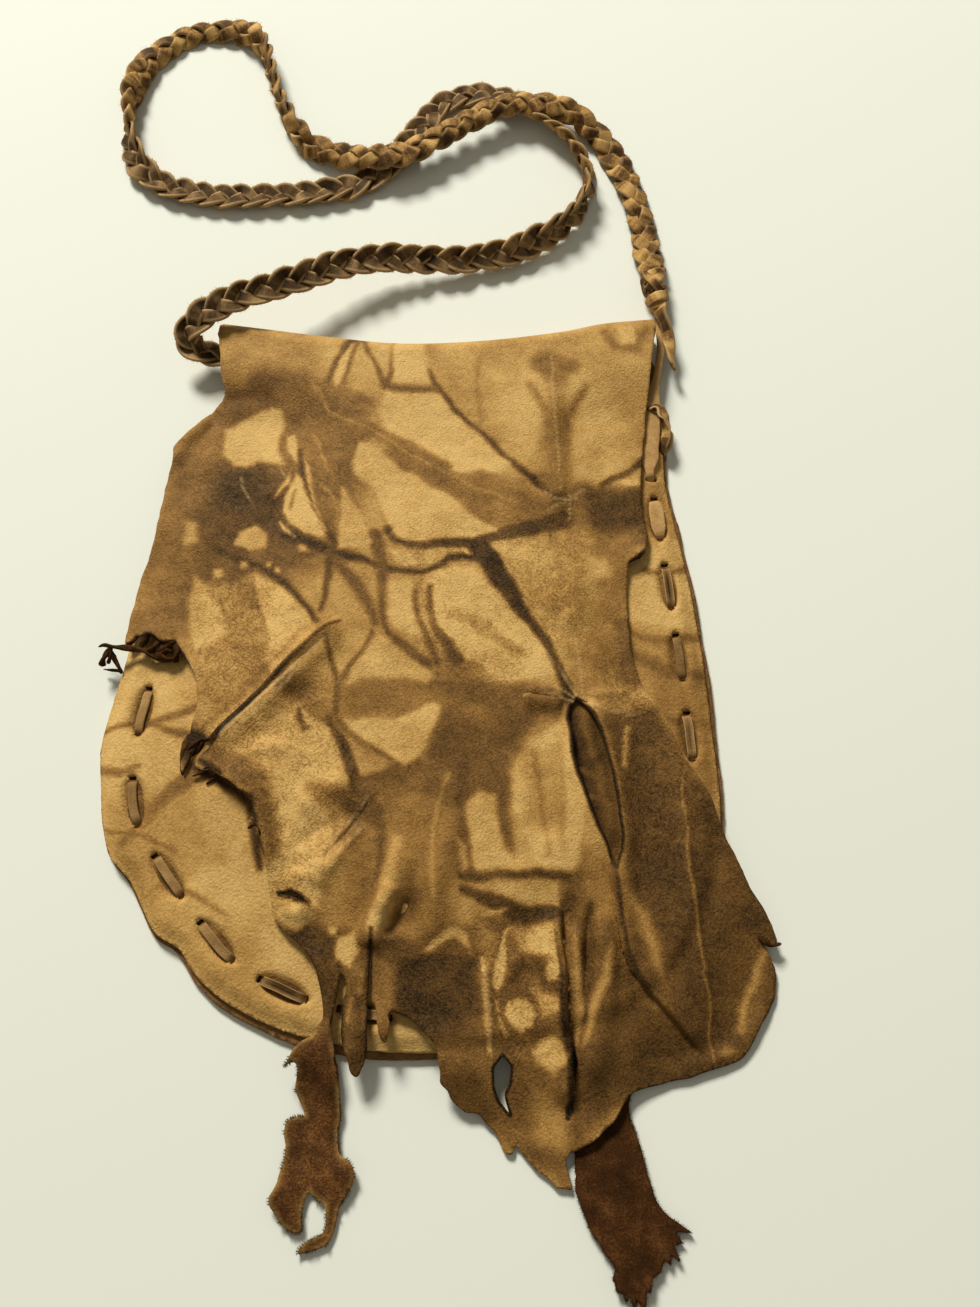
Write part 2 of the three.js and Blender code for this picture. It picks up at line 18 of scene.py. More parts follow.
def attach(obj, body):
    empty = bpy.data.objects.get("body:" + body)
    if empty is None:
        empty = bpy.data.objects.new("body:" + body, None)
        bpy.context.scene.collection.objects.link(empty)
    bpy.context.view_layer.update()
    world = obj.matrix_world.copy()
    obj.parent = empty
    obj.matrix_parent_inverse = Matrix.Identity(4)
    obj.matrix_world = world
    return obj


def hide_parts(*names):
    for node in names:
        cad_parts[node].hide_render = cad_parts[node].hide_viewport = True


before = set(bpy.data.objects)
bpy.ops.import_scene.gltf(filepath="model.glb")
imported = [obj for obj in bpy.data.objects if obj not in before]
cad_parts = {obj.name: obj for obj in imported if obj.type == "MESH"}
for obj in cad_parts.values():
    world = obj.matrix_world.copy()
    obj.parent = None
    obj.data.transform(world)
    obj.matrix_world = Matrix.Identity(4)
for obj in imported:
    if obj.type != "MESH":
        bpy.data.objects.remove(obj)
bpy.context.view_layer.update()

# %% [markdown]
# The photograph looks down from the foot of the pouch, at an angle estimated as 70 degrees. The
# camera therefore stands 0.44 m up and leans 20 degrees towards the strap.

# %% Camera
CAMERA_PLACE = (0.024, -0.12301, 0.44237)
CAMERA_LEAN = 20
LENS = 34.58
SENSOR = 36

bpy.ops.object.camera_add(location=CAMERA_PLACE, rotation=(math.radians(CAMERA_LEAN), 0, 0))
camera = bpy.context.object
camera.data.lens = LENS
camera.data.sensor_width = SENSOR
bpy.context.scene.camera = camera
print("camera looks down at", 90 - CAMERA_LEAN, "degrees")

# %% [markdown]
# Everything flat here is described on the table top in millimetres, so a few small tools come
# first: smooth noise, the distance from a line, and a smooth curve through given points.

# %% Flat geometry tools
MM = 0.001


def smoothstep(low, high, value):
    share = np.clip((value - low) / (high - low), 0, 1)
    return share * share * (3 - 2 * share)


def mix(a, b, share):
    return a + (b - a) * share


def soft_noise(x, y, size, seed, octaves=3):
    """Smooth noise from -1 to 1 whose largest lumps are about size across."""
    total, weight, reach = 0.0, 1.0, 0.0
    for octave in range(octaves):
        table = np.random.default_rng(seed + octave).uniform(-1, 1, (64, 64))
        u, v = x / size * 2**octave + 7.3 * octave, y / size * 2**octave + 3.1 * octave
        i, j = np.floor(u).astype(int), np.floor(v).astype(int)
        s, t = smoothstep(0, 1, u - i), smoothstep(0, 1, v - j)
        lower = mix(table[i % 64, j % 64], table[(i + 1) % 64, j % 64], s)
        upper = mix(table[i % 64, (j + 1) % 64], table[(i + 1) % 64, (j + 1) % 64], s)
        total, reach = total + weight * mix(lower, upper, t), reach + weight
        weight *= 0.5
    return total / reach


def line_distance(x, y, points):
    """Distance from a line, the share along it, and which side: +1 left of its direction."""
    best = np.full(np.shape(x), 1e9)
    along, side, walked = np.zeros_like(best), np.ones_like(best), 0.0
    for (x0, y0), (x1, y1) in zip(points, points[1:]):
        dx, dy = x1 - x0, y1 - y0
        length = math.hypot(dx, dy)
        t = np.clip(((x - x0) * dx + (y - y0) * dy) / length**2, 0, 1)
        ex, ey = x - x0 - t * dx, y - y0 - t * dy
        gap = np.hypot(ex, ey)
        near = gap < best
        best = np.where(near, gap, best)
        along = np.where(near, walked + t * length, along)
        side = np.where(near, np.where(dx * ey - dy * ex >= 0, 1.0, -1.0), side)
        walked += length
    return best, along / walked, side


def inside(x, y, region):
    within = np.zeros(np.shape(x), bool)
    for (x0, y0), (x1, y1) in zip(region, [*region[1:], region[0]]):
        if y0 != y1:
            crosses = (y0 > y) != (y1 > y)
            within ^= crosses & (x < x0 + (y - y0) / (y1 - y0) * (x1 - x0))
    return within


def curve_through(points, count):
    """A Catmull-Rom curve through points, as count evenly spaced rows of an array."""
    p = np.array(points, float)
    p = np.vstack([2 * p[0] - p[1], p, 2 * p[-1] - p[-2]])
    rows = []
    for a, b, c, d in zip(p, p[1:], p[2:], p[3:]):
        t = np.linspace(0, 1, 24, endpoint=False)[:, None]
        squared, cubed = 2 * a - 5 * b + 4 * c - d, 3 * b - a - 3 * c + d
        rows.append(0.5 * (2 * b + (c - a) * t + squared * t**2 + cubed * t**3))
    rows = np.vstack([*rows, p[-2:-1]])
    walked = np.concatenate([[0], np.cumsum(np.linalg.norm(np.diff(rows[:, :3], axis=0), axis=1))])
    at = np.linspace(0, walked[-1], count)
    return np.stack([np.interp(at, walked, column) for column in rows.T], axis=1)


print("noise sample:", np.round(soft_noise(np.array([1.0, 5.0]), np.array([2.0, 9.0]), 10, 1), 2))

# %% [markdown]
# The strap is a flat braid of three leather strips. A rope-like tube would never look right,
# because the strips have flat faces and pale cut edges. So each strip is swept as its own ribbon,
# which swings from side to side in a figure of eight along the strap's route. The route comes
# first, through the same places as in the solid model.

# %% Strap route
# Each place is x, y and z in millimetres, and how far the flat braid is rolled over there
STRAP_ROUTE = [
    (91, 205, 5.2, 20), (89.5, 225, 3.8, 0), (86, 245, 3.4, -10), (79, 266, 3.4, 0), (69, 280, 5.2, 5),
    (57, 288, 8.8, 10), (41, 291, 10.4, 0), (24, 287, 10.2, 0), (-7, 267, 10.2, 0), (-22, 262.5, 10, 5),
    (-38, 265, 6, 10), (-53, 271, 3.4, 30), (-64, 284, 3.4, 75), (-72, 307, 3.4, 80), (-79, 327, 3.4, 65),
    (-92, 337.5, 3.4, 15), (-111, 337, 3.4, 0), (-127, 322, 3.4, 15), (-133.5, 300, 3.4, 70),
    (-132.5, 274, 3.4, 125), (-121, 254.5, 3.4, 175), (-98, 246.8, 3.4, 180), (-66, 246, 3.4, 180),
    (-36, 251.2, 3.4, 180), (-18, 264, 3.4, 180), (-7, 282, 3.4, 180), (5, 297, 3.4, 180),
    (23, 301.3, 3.4, 185), (41, 292, 3.4, 200), (57, 276, 3.4, 240), (66.3, 254, 3.4, 262),
    (58, 233, 3.4, 250), (36, 217, 3.4, 215), (8, 210.5, 4.8, 205), (-26, 207, 10, 204),
    (-57, 192.5, 15.2, 206), (-83, 179.5, 18.4, 200), (-98, 169.5, 12.5, 185), (-88, 164, 7.2, 180),
    (-70, 165, 6.75, 180),
]
strap_curve = curve_through(STRAP_ROUTE, 1100)
strap_rows, strap_roll = strap_curve[:, :3], np.radians(strap_curve[:, 3])
strap_steps = np.linalg.norm(np.diff(strap_rows, axis=0), axis=1)
strap_walked = np.concatenate([[0], np.cumsum(strap_steps)])

# %% [markdown]
# Strips, thongs and tendrils are all ribbons, so one function sweeps them. It walks along a
# centre line with a rounded, flat cross-section, and keeps on each point how far along and how
# far across the strip it lies, because the leather's fuzzy cut edges are a different colour.

# %% Ribbon maker
# Leather presses flat on the table instead of sinking into it
TABLE_CLEARANCE = 0.05


def store(piece, name, values):
    """Keep one number per point on a mesh, for its material to read."""
    layer = piece.data.attributes.new(name, "FLOAT", "POINT")
    layer.data.foreach_set("value", np.asarray(values, np.float32).ravel())


def mesh_piece(name, verts_mm, faces):
    verts_mm = np.array(verts_mm, float)
    verts_mm[:, 2] = np.maximum(verts_mm[:, 2], TABLE_CLEARANCE)
    mesh = bpy.data.meshes.new(name)
    mesh.from_pydata((verts_mm * MM).tolist(), [], faces)
    piece = bpy.data.objects.new(name, mesh)
    bpy.context.collection.objects.link(piece)
    mesh.shade_smooth()
    return piece


def ribbon(name, centre, normal, half_width, half_thick, sides=10, cup=0.0):
    """A ribbon round a centre line in millimetres. Its flat face looks along normal.

    cup raises the two long edges, by so many millimetres, and lowers the middle."""
    count = len(centre)
    along = np.gradient(centre, axis=0)
    along /= np.linalg.norm(along, axis=1, keepdims=True)
    normal = normal - along * np.sum(normal * along, axis=1, keepdims=True)
    normal /= np.linalg.norm(normal, axis=1, keepdims=True)
    wide = np.cross(along, normal)
    half_width = np.broadcast_to(half_width, count)[:, None, None]
    half_thick = np.broadcast_to(half_thick, count)[:, None, None]
    angles = (np.arange(sides) + 0.5) * 2 * math.pi / sides
    a = np.sign(np.cos(angles)) * np.abs(np.cos(angles)) ** 0.6
    b = np.sign(np.sin(angles)) * np.abs(np.sin(angles)) ** 0.6
    rings = centre[:, None] + wide[:, None] * a[None, :, None] * half_width
    rings = rings + normal[:, None] * b[None, :, None] * half_thick
    cup = np.broadcast_to(cup, count)
    rings = rings + normal[:, None] * (a[None, :, None] ** 2 - 0.45) * cup[:, None, None]
    faces = []
    for row in range(count - 1):
        for i in range(sides):
            p, q = row * sides + i, row * sides + (i + 1) % sides
            faces.append((p, p + sides, q + sides, q))
    faces.append(tuple(range(sides)))
    faces.append(tuple(reversed(range((count - 1) * sides, count * sides))))
    piece = mesh_piece(name, rings.reshape(-1, 3), faces)
    walked = np.concatenate([[0], np.cumsum(np.linalg.norm(np.diff(centre, axis=0), axis=1))])
    store(piece, "along", np.repeat(walked, sides))
    store(piece, "across", np.tile(a, count))
    store(piece, "face", np.tile(np.where(b > 0, 1.0, 0.0), count))
    store(piece, "cup", np.repeat(cup, sides))
    return piece


def join(pieces, name):
    """Join mesh pieces into one object."""
    bpy.ops.object.select_all(action="DESELECT")
    for piece in pieces:
        piece.select_set(True)
    bpy.context.view_layer.objects.active = pieces[0]
    bpy.ops.object.join()
    joined = bpy.context.object
    joined.name = name
    joined.data.name = name
    return joined


def line_frames(rows):
    """Directions along, across and up for each row of a path that mostly lies flat."""
    along = np.gradient(rows, axis=0)
    along /= np.linalg.norm(along, axis=1, keepdims=True)
    across = np.cross(along, [0.0, 0.0, 1.0])
    across /= np.linalg.norm(across, axis=1, keepdims=True)
    return along, across, np.cross(across, along)


# %% [markdown]
# The strap is a flat braid of three strips, all with the smooth side up, so one face of the
# braid is smooth and tan and the other is brown suede. Each strip swings from side to side and
# dives under the next one halfway. Where the strap is twisted on the table, the braid stands
# on its edge, looks narrow, and then shows its other face.

# %% Braid the strap
BRAID_PERIOD = 27.0
STRAND_SWING = 3.5
STRAND_LIFT = 1.15
STRAND_HALF_WIDTH = 2.95
STRAND_HALF_THICK = 0.85
BRAID_HALF_WIDTH = 5.8
BRAID_HALF_THICK = 2.8
# The route's heights suit a braid that reaches this far down, and it is lowered no more than this
ROUTE_HALF_HEIGHT = 3.9
MOST_LOWERED = -1.2

_, across, upward = line_frames(strap_rows)
edge_on = np.abs(np.sin(strap_roll)) * BRAID_HALF_WIDTH + np.abs(np.cos(strap_roll)) * BRAID_HALF_THICK
lift = np.maximum(edge_on - ROUTE_HALF_HEIGHT, MOST_LOWERED)
centre_line = strap_rows + lift[:, None] * [0, 0, 1]
rolled_across = across * np.cos(strap_roll)[:, None] + upward * np.sin(strap_roll)[:, None]
rolled_up = upward * np.cos(strap_roll)[:, None] - across * np.sin(strap_roll)[:, None]
strands = []
for strand in range(3):
    slack = soft_noise(strap_walked, np.full_like(strap_walked, 90.0 * strand), 26, 11 + strand, 2)
    pinch = soft_noise(strap_walked, np.full_like(strap_walked, 50.0 * strand), 13, 31 + strand, 2)
    theta = 2 * math.pi * (strap_walked / BRAID_PERIOD + strand / 3) + 0.55 * slack
    centre = centre_line + rolled_across * (STRAND_SWING * np.sin(theta))[:, None]
    centre = centre + rolled_up * (STRAND_LIFT * np.sin(2 * theta))[:, None]
    lean = 0.5 * np.sin(theta) + 0.35 * pinch
    normal = rolled_up * np.cos(lean)[:, None] + rolled_across * np.sin(lean)[:, None]
    strip = ribbon(
        f"strand_{strand}", centre, normal,
        STRAND_HALF_WIDTH * (1 + 0.3 * pinch), STRAND_HALF_THICK * (1 + 0.15 * slack), 12,
    )
    store(strip, "strand", np.full(len(strip.data.vertices), 37.0 * strand))
    strands.append(strip)
strap = join(strands, "braided_strap")
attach(strap, "root")
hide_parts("strap")
print("strap points:", len(strap.data.vertices), "period", BRAID_PERIOD, "mm")

# %% [markdown]
# The hide lies over a seam, a pocket and a lace, so its shape comes from a height map: how high
# the middle of the leather is above the table at each place. The laced edge of the pocket sets
# that map, so its line is drawn first, in the same places as in the solid model.

# %% Laced edge and heights
BODY_EDGE = [
    (-86, 134), (-93, 115), (-101, 84), (-108, 52), (-111.5, 30), (-114.6, 14), (-116.8, 1), (-115.4, -13),
    (-113, -28), (-109.5, -39), (-101.5, -48), (-97, -56), (-91, -66), (-82.5, -71), (-76, -80),
    (-67, -87.5), (-55, -94), (-44, -98.3), (-31, -101.5), (-14, -104.4), (6, -105), (26, -104.5),
    (46, -101.5), (64, -96), (80, -86), (92, -72), (100, -55), (104.5, -38), (106, -18), (104.8, 3),
    (103.6, 25), (101, 52), (97.5, 76), (93.5, 98), (92, 112), (92.5, 128),
]
FOLD_LINE = [
    (-84.5, 177.4), (-64, 174.4), (-40, 171), (-12, 168), (20, 169.2), (52, 173.4), (70, 177.4),
    (90, 179.5),
]
HIDE_THICK = 1.4
FOLD_RADIUS = 6.05
FOLD_CENTRE_Z = 6.75
HALF_THICK = HIDE_THICK / 2
LAYER_GAP = 0.3
POCKET_RISE = 8.7

edge_line = [tuple(p) for p in curve_through(BODY_EDGE, 200)]
body_region = [*edge_line, (92.5, 400), (-86, 400)]
fold_rows = curve_through(FOLD_LINE, 80)


def edge_distance(x, y):
    """Distance from the laced edge in millimetres: positive over the pocket."""
    away, _, _ = line_distance(x, y, edge_line)
    return np.where(inside(x, y, body_region), away, -away)


def fold_y(x):
    """Where the flap starts to roll over, behind the outermost line of the fold."""
    return np.interp(x, fold_rows[:, 0], fold_rows[:, 1]) - FOLD_CENTRE_Z


def back_height(x, y, distance):
    """Middle of the back panel: it lies on the table and rises over the lace at its edge."""
    near_fold = smoothstep(-36, -8, y - fold_y(x))
    lace_rise = mix(0.3, 1.9, smoothstep(0, 6.5, distance)) * (1 - smoothstep(14, 44, distance))
    return HALF_THICK + lace_rise * (1 - near_fold)


def panel_height(x, y, distance):
    """Middle of the front panel: it rises from the laced edge into the pocket's soft belly."""
    low = back_height(x, y, distance) - HALF_THICK
    belly = POCKET_RISE * smoothstep(12, 60, distance)
    wave = 0.5 * soft_noise(x, y, 34, 5) * smoothstep(0, 14, distance)
    return low + HIDE_THICK + LAYER_GAP + HALF_THICK + belly + wave


print("fold starts at y =", np.round(fold_y(np.array([-80.0, 0.0, 80.0])), 1), "mm")

# %% [markdown]
# The flap's outline is torn and ragged, so it is drawn as it lies: down the left edge, along the
# strips that hang at the bottom, and up the right edge. A torn edge is never smooth, so the line
# is cut into one-millimetre steps, softened a little at its corners and then roughened.

# %% Flap outline
FLAP_LEFT = [
    (-84.6, 169.6), (-84, 163.9), (-82.9, 153.7), (-81.2, 145.7), (-81.4, 141.2), (-84.6, 137.2),
    (-90.2, 132.1), (-95.9, 126.5), (-99.9, 121.9), (-99.3, 117.4), (-101, 110.6), (-101.8, 102.7),
    (-102.7, 93.6), (-103.9, 82.3), (-105.6, 73.2), (-107.3, 67.5), (-108.4, 60.7), (-109.2, 53.9),
    (-110.1, 47.1), (-110.8, 38.6), (-108.4, 39.4), (-106.4, 41.8), (-104.5, 40.6), (-101.8, 42.4),
    (-99.4, 41.4), (-97.6, 39.1), (-94.7, 38.8), (-91.7, 39.7), (-88.7, 34.9), (-86.3, 31.4), (-83.4, 26.4),
    (-82.4, 22.1), (-82, 18), (-81.6, 14.3), (-82.3, 10.6), (-83.1, 8.4), (-83.4, 4), (-86.4, 1.5),
    (-86.7, -1.1), (-85.4, -2.6), (-86.2, -7), (-85.5, -10.6), (-83.8, -7), (-83.1, -3.3), (-82, -3.3),
    (-80.1, 1.1), (-75.7, 1.5), (-74.4, 0.2), (-75.7, -1.1), (-78.7, -4), (-81.2, -7.7), (-78.7, -9.9),
    (-74.3, -9.9), (-71.3, -12.1), (-66.2, -15), (-63.3, -18), (-59.6, -19.4), (-58.5, -23.1),
    (-58.1, -26.8), (-59.6, -30.1), (-56.7, -30.4), (-54.5, -33.4), (-55.6, -35.2), (-54.1, -40),
    (-53, -44.4), (-51.9, -50.2), (-50.8, -56.1), (-50.1, -61), (-45.6, -65.9), (-40.9, -69.7),
    (-36.2, -74.3), (-33.9, -79), (-32.5, -84.6), (-31.6, -90.2), (-31.1, -94),
]
SUEDE_STRIP = [
    (-34.8, -99.6), (-40, -102.4), (-41.8, -105.6), (-44.2, -109.4), (-42.3, -108.4), (-40.1, -107.5),
    (-39.5, -110.8), (-40.4, -116.4), (-38.1, -121), (-36.7, -124.3), (-40.4, -124.8), (-43.2, -126.2),
    (-43.7, -130.4), (-42.6, -133.2), (-43.7, -139.7), (-45.1, -146.2), (-47.4, -149.5), (-47, -151.8),
    (-44.9, -154.2), (-43.2, -157), (-40.4, -159.5), (-36.7, -160.3), (-36, -158.8), (-36.7, -153.7),
    (-35.3, -148.6), (-34.2, -147.6), (-31.6, -150.4), (-28.9, -151.4), (-28.8, -158.4), (-29.7, -160.2),
    (-34.4, -162.1), (-37.2, -164.5), (-37.6, -166.3), (-35.3, -165.7), (-31.6, -164.9), (-27.8, -163.2),
    (-26, -159.3), (-24.8, -152.8), (-22.7, -149.5), (-21.3, -147.2), (-19.9, -143.4), (-20.3, -139.7),
    (-22.7, -137.8), (-24.6, -137.4), (-25.5, -134.1), (-25.9, -129.4), (-25, -124.8), (-25.5, -120.1),
    (-25.9, -115.4), (-26.4, -109.8), (-27.8, -104.2), (-28.8, -99.6), (-28.8, -94.9), (-27.8, -89.3),
    (-27.2, -84.6), (-26.6, -80.4), (-24.8, -80),
]
FLAP_BOTTOM = [
    (-23.6, -84.6), (-25.5, -90.2), (-25.5, -94.9), (-25, -100.5), (-23.2, -106.1), (-22.2, -110.8),
    (-19.4, -113.1), (-17.1, -108), (-16.6, -102.4), (-16.9, -94.9), (-16.9, -85.6), (-16.7, -74),
    (-16.2, -68), (-15.6, -74), (-15.2, -87.4), (-13.8, -92.1), (-13.4, -96.8), (-12.4, -100.5),
    (-10.5, -102.4), (-9.2, -96.8), (-10.1, -92.1), (-8.6, -91.2), (-6.9, -92.5), (-3.5, -93.5),
    (0.9, -97.3), (5.2, -101.2), (6.5, -103.4), (6.9, -106.8), (7.8, -112), (7.1, -114.2), (10, -116.4),
    (11.3, -119.8), (16, -123.7), (19.9, -123.7), (23.4, -127.6), (25.6, -129.4), (27.3, -133.7),
    (28.6, -136.3), (31.7, -136.8), (32.1, -133.3), (35.6, -137.2), (39, -141.1), (42.5, -143.7),
    (45.5, -146.7), (48.6, -146.7), (51, -147.4), (50, -144.6), (48.6, -139), (49.4, -136.4), (52, -135.5),
    (58.1, -132), (65, -125.9), (68.9, -119.7),
]
FLAP_RIGHT = [
    (70.8, -117.4), (75.5, -116), (80.1, -115), (84.8, -114), (90.4, -112.7), (96, -110.8), (100.6, -109.4),
    (107.2, -107.6), (110.4, -104.3), (112.8, -100.1), (115.6, -95.4), (118.4, -91.7), (121, -86.1),
    (121.9, -80.5), (121.2, -75.8), (119.3, -71.2), (115.6, -66.2), (120.6, -70.6), (122.8, -69),
    (120.4, -61.4), (118.8, -58.1), (114.6, -51.1), (110, -41.3), (106.7, -33.9), (104.4, -27.3),
    (101.6, -18.9), (97.9, -11.9), (94.1, -6.8), (90.9, 0.2), (87.1, 10), (79.8, 21), (77.6, 27.8),
    (75.9, 34.6), (75.3, 42.6), (75, 53.9), (75, 59.6), (75.6, 67.5), (75.9, 71.5), (79.6, 73.4),
    (82.7, 76.6), (84, 82.3), (83.4, 88), (82.4, 93.6), (82.4, 106), (83.2, 116.2), (84.4, 125.3),
    (85.5, 135.5), (86.6, 144.6), (87.8, 152.6), (88.9, 161.6), (90, 171.5),
]
LONG_SLIT = [
    (55.1, 16.2), (52.9, 13.6), (52.1, 9.2), (53.2, 3.3), (53.6, -4), (55.1, -10.6), (57.3, -16.5),
    (59.5, -23.8), (62.4, -31.1), (65, -36.3), (67.5, -44.3), (69.6, -37.7), (70.1, -33.3), (69, -26),
    (68.3, -18.7), (67.2, -11.3), (65.3, -3.3), (63.1, 4.8), (60.9, 10.7), (58, 14.3),
]
SMALL_HOLE = [
    (28.2, -106), (25.2, -109.9), (25.4, -115.5), (26.9, -119.8), (30.5, -124.2), (29.5, -121.6),
    (28.6, -118.1), (30.4, -114.6), (31, -109.4),
]
CONE_GAP = [(51.2, -103.4), (50.6, -109), (51.4, -112), (52.6, -108.6)]
LOW_GAP = [(50.7, -118.8), (49.8, -122), (49.7, -125.4), (50.9, -123)]
SHORT_TEAR = [(-48, -53.2), (-43.6, -54.2), (-38.6, -56.6), (-41.4, -53.9), (-44, -52.6)]


def torn_line(points, step, seed, rough=0.16, closed=True):
    """An outline from the given points, cut into even steps, softened at its corners and roughened."""
    p = np.array(points + points[:1] if closed else points, float)
    lengths = np.hypot(*np.diff(p, axis=0).T)
    walked = np.concatenate([[0], np.cumsum(lengths)])
    count = max(8, int(walked[-1] / step))
    at = np.linspace(0, walked[-1], count, endpoint=not closed)
    line = np.stack([np.interp(at, walked, p[:, 0]), np.interp(at, walked, p[:, 1])], axis=1)
    for _ in range(2):
        before, after = np.roll(line, 1, axis=0), np.roll(line, -1, axis=0)
        softened = 0.5 * line + 0.25 * (before + after)
        line = softened if closed else np.vstack([line[:1], softened[1:-1], line[-1:]])
    shift = [soft_noise(at, 0 * at, 3.1, seed, 3), soft_noise(at, 0 * at + 50, 3.1, seed + 9, 3)]
    shift = np.stack(shift, axis=1)
    if not closed:
        shift[0] = shift[-1] = 0
    return line + 2 * rough * shift


flap_edge = FLAP_LEFT + SUEDE_STRIP + FLAP_BOTTOM + FLAP_RIGHT
print("flap outline points:", len(flap_edge))

# %% [markdown]
# Folds give the leather its life. A ridge rises evenly on both sides of its line. A lap is high
# on one side and drops steeply on the other, which stands for one layer lying over the next.

# %% Folds of the flap
# Each fold: height, soft width, steep width, places. The soft, high side is on the left.
FLAP_FOLDS = [
    (4.4, 13, 2.2, [(-30, 47), (-38, 41), (-48, 30.5), (-58, 18.5), (-69, 7.6), (-78, -1.6)]),
    (2.6, 9, 1.3, [(66.5, -40), (67.5, -50), (68.5, -62), (69.9, -72), (72.7, -78.6), (76.4, -83.3),
        (86.7, -94.5), (97, -106)]),
    (4.6, 9, 1.3, [(50, -124), (50.6, -105), (48.6, -94), (48.6, -80), (46.8, -68), (48, -56)]),
    (1.5, 7, 3.2, [(-17, -72), (-13, -60), (-8, -50)]),
    (1.6, 6, 1.4, [(50, 15), (36, 16.6)]),
]
LOBE_LINE = [(92.7, -7.7), (91.8, -18), (92.3, -29), (94, -55), (96.5, -83), (99, -108)]
# Each ridge: height, half width, places
FLAP_RIDGES = [
    (2.0, 2.6, [(52.2, 14), (52.4, 2), (54, -10), (58, -22), (62.5, -34), (66.5, -44)]),
    (2.4, 3.2, [(57.5, 16), (62.5, 8), (66.4, -3), (69, -20), (71.4, -36), (69, -50)]),
    (3.4, 5.0, [(61, -58), (63.5, -76), (60.5, -94), (56, -120)]),
    (2.2, 2.6, [(53, -62), (53.6, -78), (53.4, -98)]),
    (0.6, 2.0, LOBE_LINE),
    (0.9, 2.0, [(-38, -46), (-30, -36), (-24, -27), (-19, -20)]),
    (0.8, 1.6, [(-34, -48), (-26, -38), (-20, -30)]),
    (1.0, 3.5, [(49.5, 165), (49, 130), (50, 84)]),
    (1.0, 4.0, [(54, 72), (55, 55), (54, 42)]),
    (0.9, 1.6, [(58, 15), (68, 13), (77, 11)]),
    (0.8, 1.4, [(59, 18), (68, 19), (75, 20)]),
    (0.8, 1.4, [(36, 20), (45, 18.4), (53, 16)]),
    (1.1, 2.2, [(22, -74), (23, -88), (24, -104)]),
    (1.0, 2.0, [(30, -64), (33, -74), (31, -84)]),
    (1.8, 2.4, [(-20, -74), (-21, -90), (-20.5, -110)]),
    (1.6, 2.2, [(-37, -70), (-31, -80), (-28.4, -92), (-29, -102)]),
    (1.1, 3.6, [(-20, -74), (-15, -64), (-8, -50), (-2, -38)]),
    (1.6, 4.0, [(-42, -44), (-40, -56), (-36, -64)]),
    (0.9, 2.0, [(40, -62), (41, -72), (46, -82)]),
    (1.4, 2.4, [(-48, -58), (-42, -60), (-37, -57)]),
    (1.5, 3.0, [(-84, 136), (-96, 125), (-101, 112)]),
    (1.6, 3.0, [(-83, 22), (-87, 33), (-98, 41), (-109, 42)]),
    (2.6, 6.0, [(-78, -8), (-68, -12), (-60, -20), (-57, -32), (-53, -48)]),
    (1.3, 3.0, [(118, -60), (112, -48), (104, -30), (96, -12), (88, 6), (80, 19), (76, 36), (76, 66)]),
    (1.0, 3.0, [(119, -86), (112, -99), (100, -107), (82, -112)]),
    (-1.2, 3.0, [(-82, 141), (-72, 143), (-60, 141)]),
    (-2.8, 2.2, [(58.2, -57), (57.2, -68.8), (55.9, -80.3), (55.2, -94)]),
    (1.6, 4.0, [(-36.2, -51.6), (-32, -44), (-26, -38)]),
    (-1.3, 2.4, [(-36, -44), (-27, -33), (-18, -21)]),
    (1.4, 4.5, [(-22, -14), (-34, -18), (-44, -26)]),
    (-1.0, 3.0, [(-20, -24), (-32, -30), (-46, -38)]),
    (1.3, 3.5, [(-5, -34), (-9.7, -46), (-14, -62)]),
    (-1.0, 3.5, [(0, -40), (-2, -56), (-6, -68)]),
    (1.2, 4.0, [(10, -30), (6, -50), (4, -72)]),
    (1.0, 3.0, [(-66, -4), (-52, -2), (-40, -6)]),
    (-1.8, 2.4, [(-12, -68), (-7, -60), (-4, -54)]),
    (-1.2, 2.0, [(-72, 3.6), (-64, 11), (-55, 20), (-46, 29), (-38, 36.5), (-31, 42)]),
]
# Places where a free edge of the flap curls up: place, reach and height
FLAP_LIFTS = [
    ((-70, -12), 12, 1.6),
    ((-60, -22), 12, 1.0),
    ((-82, 22), 10, 1.6),
    ((-100, 40), 16, 2.0),
    ((-54, -44), 12, 2.0),
    ((122, -64), 9, 2.5),
    ((81, 74), 7, 2.5),
    ((-38, -72), 10, 1.5),
    ((8, -108), 10, 2.0),
    ((62, -124), 15, 3.0),
    ((53, -132), 8, 1.2),
    ((-19, -106), 9, 2.2),
    ((-11, -98), 6, 2.0),
    ((-40, -106), 6, 2.0),
    ((-22, -142), 7, 1.6),
    ((-45, -150), 7, 1.4),
]


def relief(x, y):
    """Height of all folds together, in millimetres."""
    total = np.zeros_like(x)
    for height, soft, steep, places in FLAP_FOLDS:
        away, share, side = line_distance(x, y, places)
        fade = smoothstep(0, 0.12, share) * (1 - smoothstep(0.86, 1, share))
        reach = np.where(side > 0, soft, steep)
        total += height * fade * (1 - smoothstep(0, 1, away / reach))
    for height, half, places in FLAP_RIDGES:
        away, share, _ = line_distance(x, y, places)
        fade = smoothstep(0, 0.2, share) * (1 - smoothstep(0.8, 1, share))
        total += height * fade * np.exp(-((away / half) ** 2))
    return total


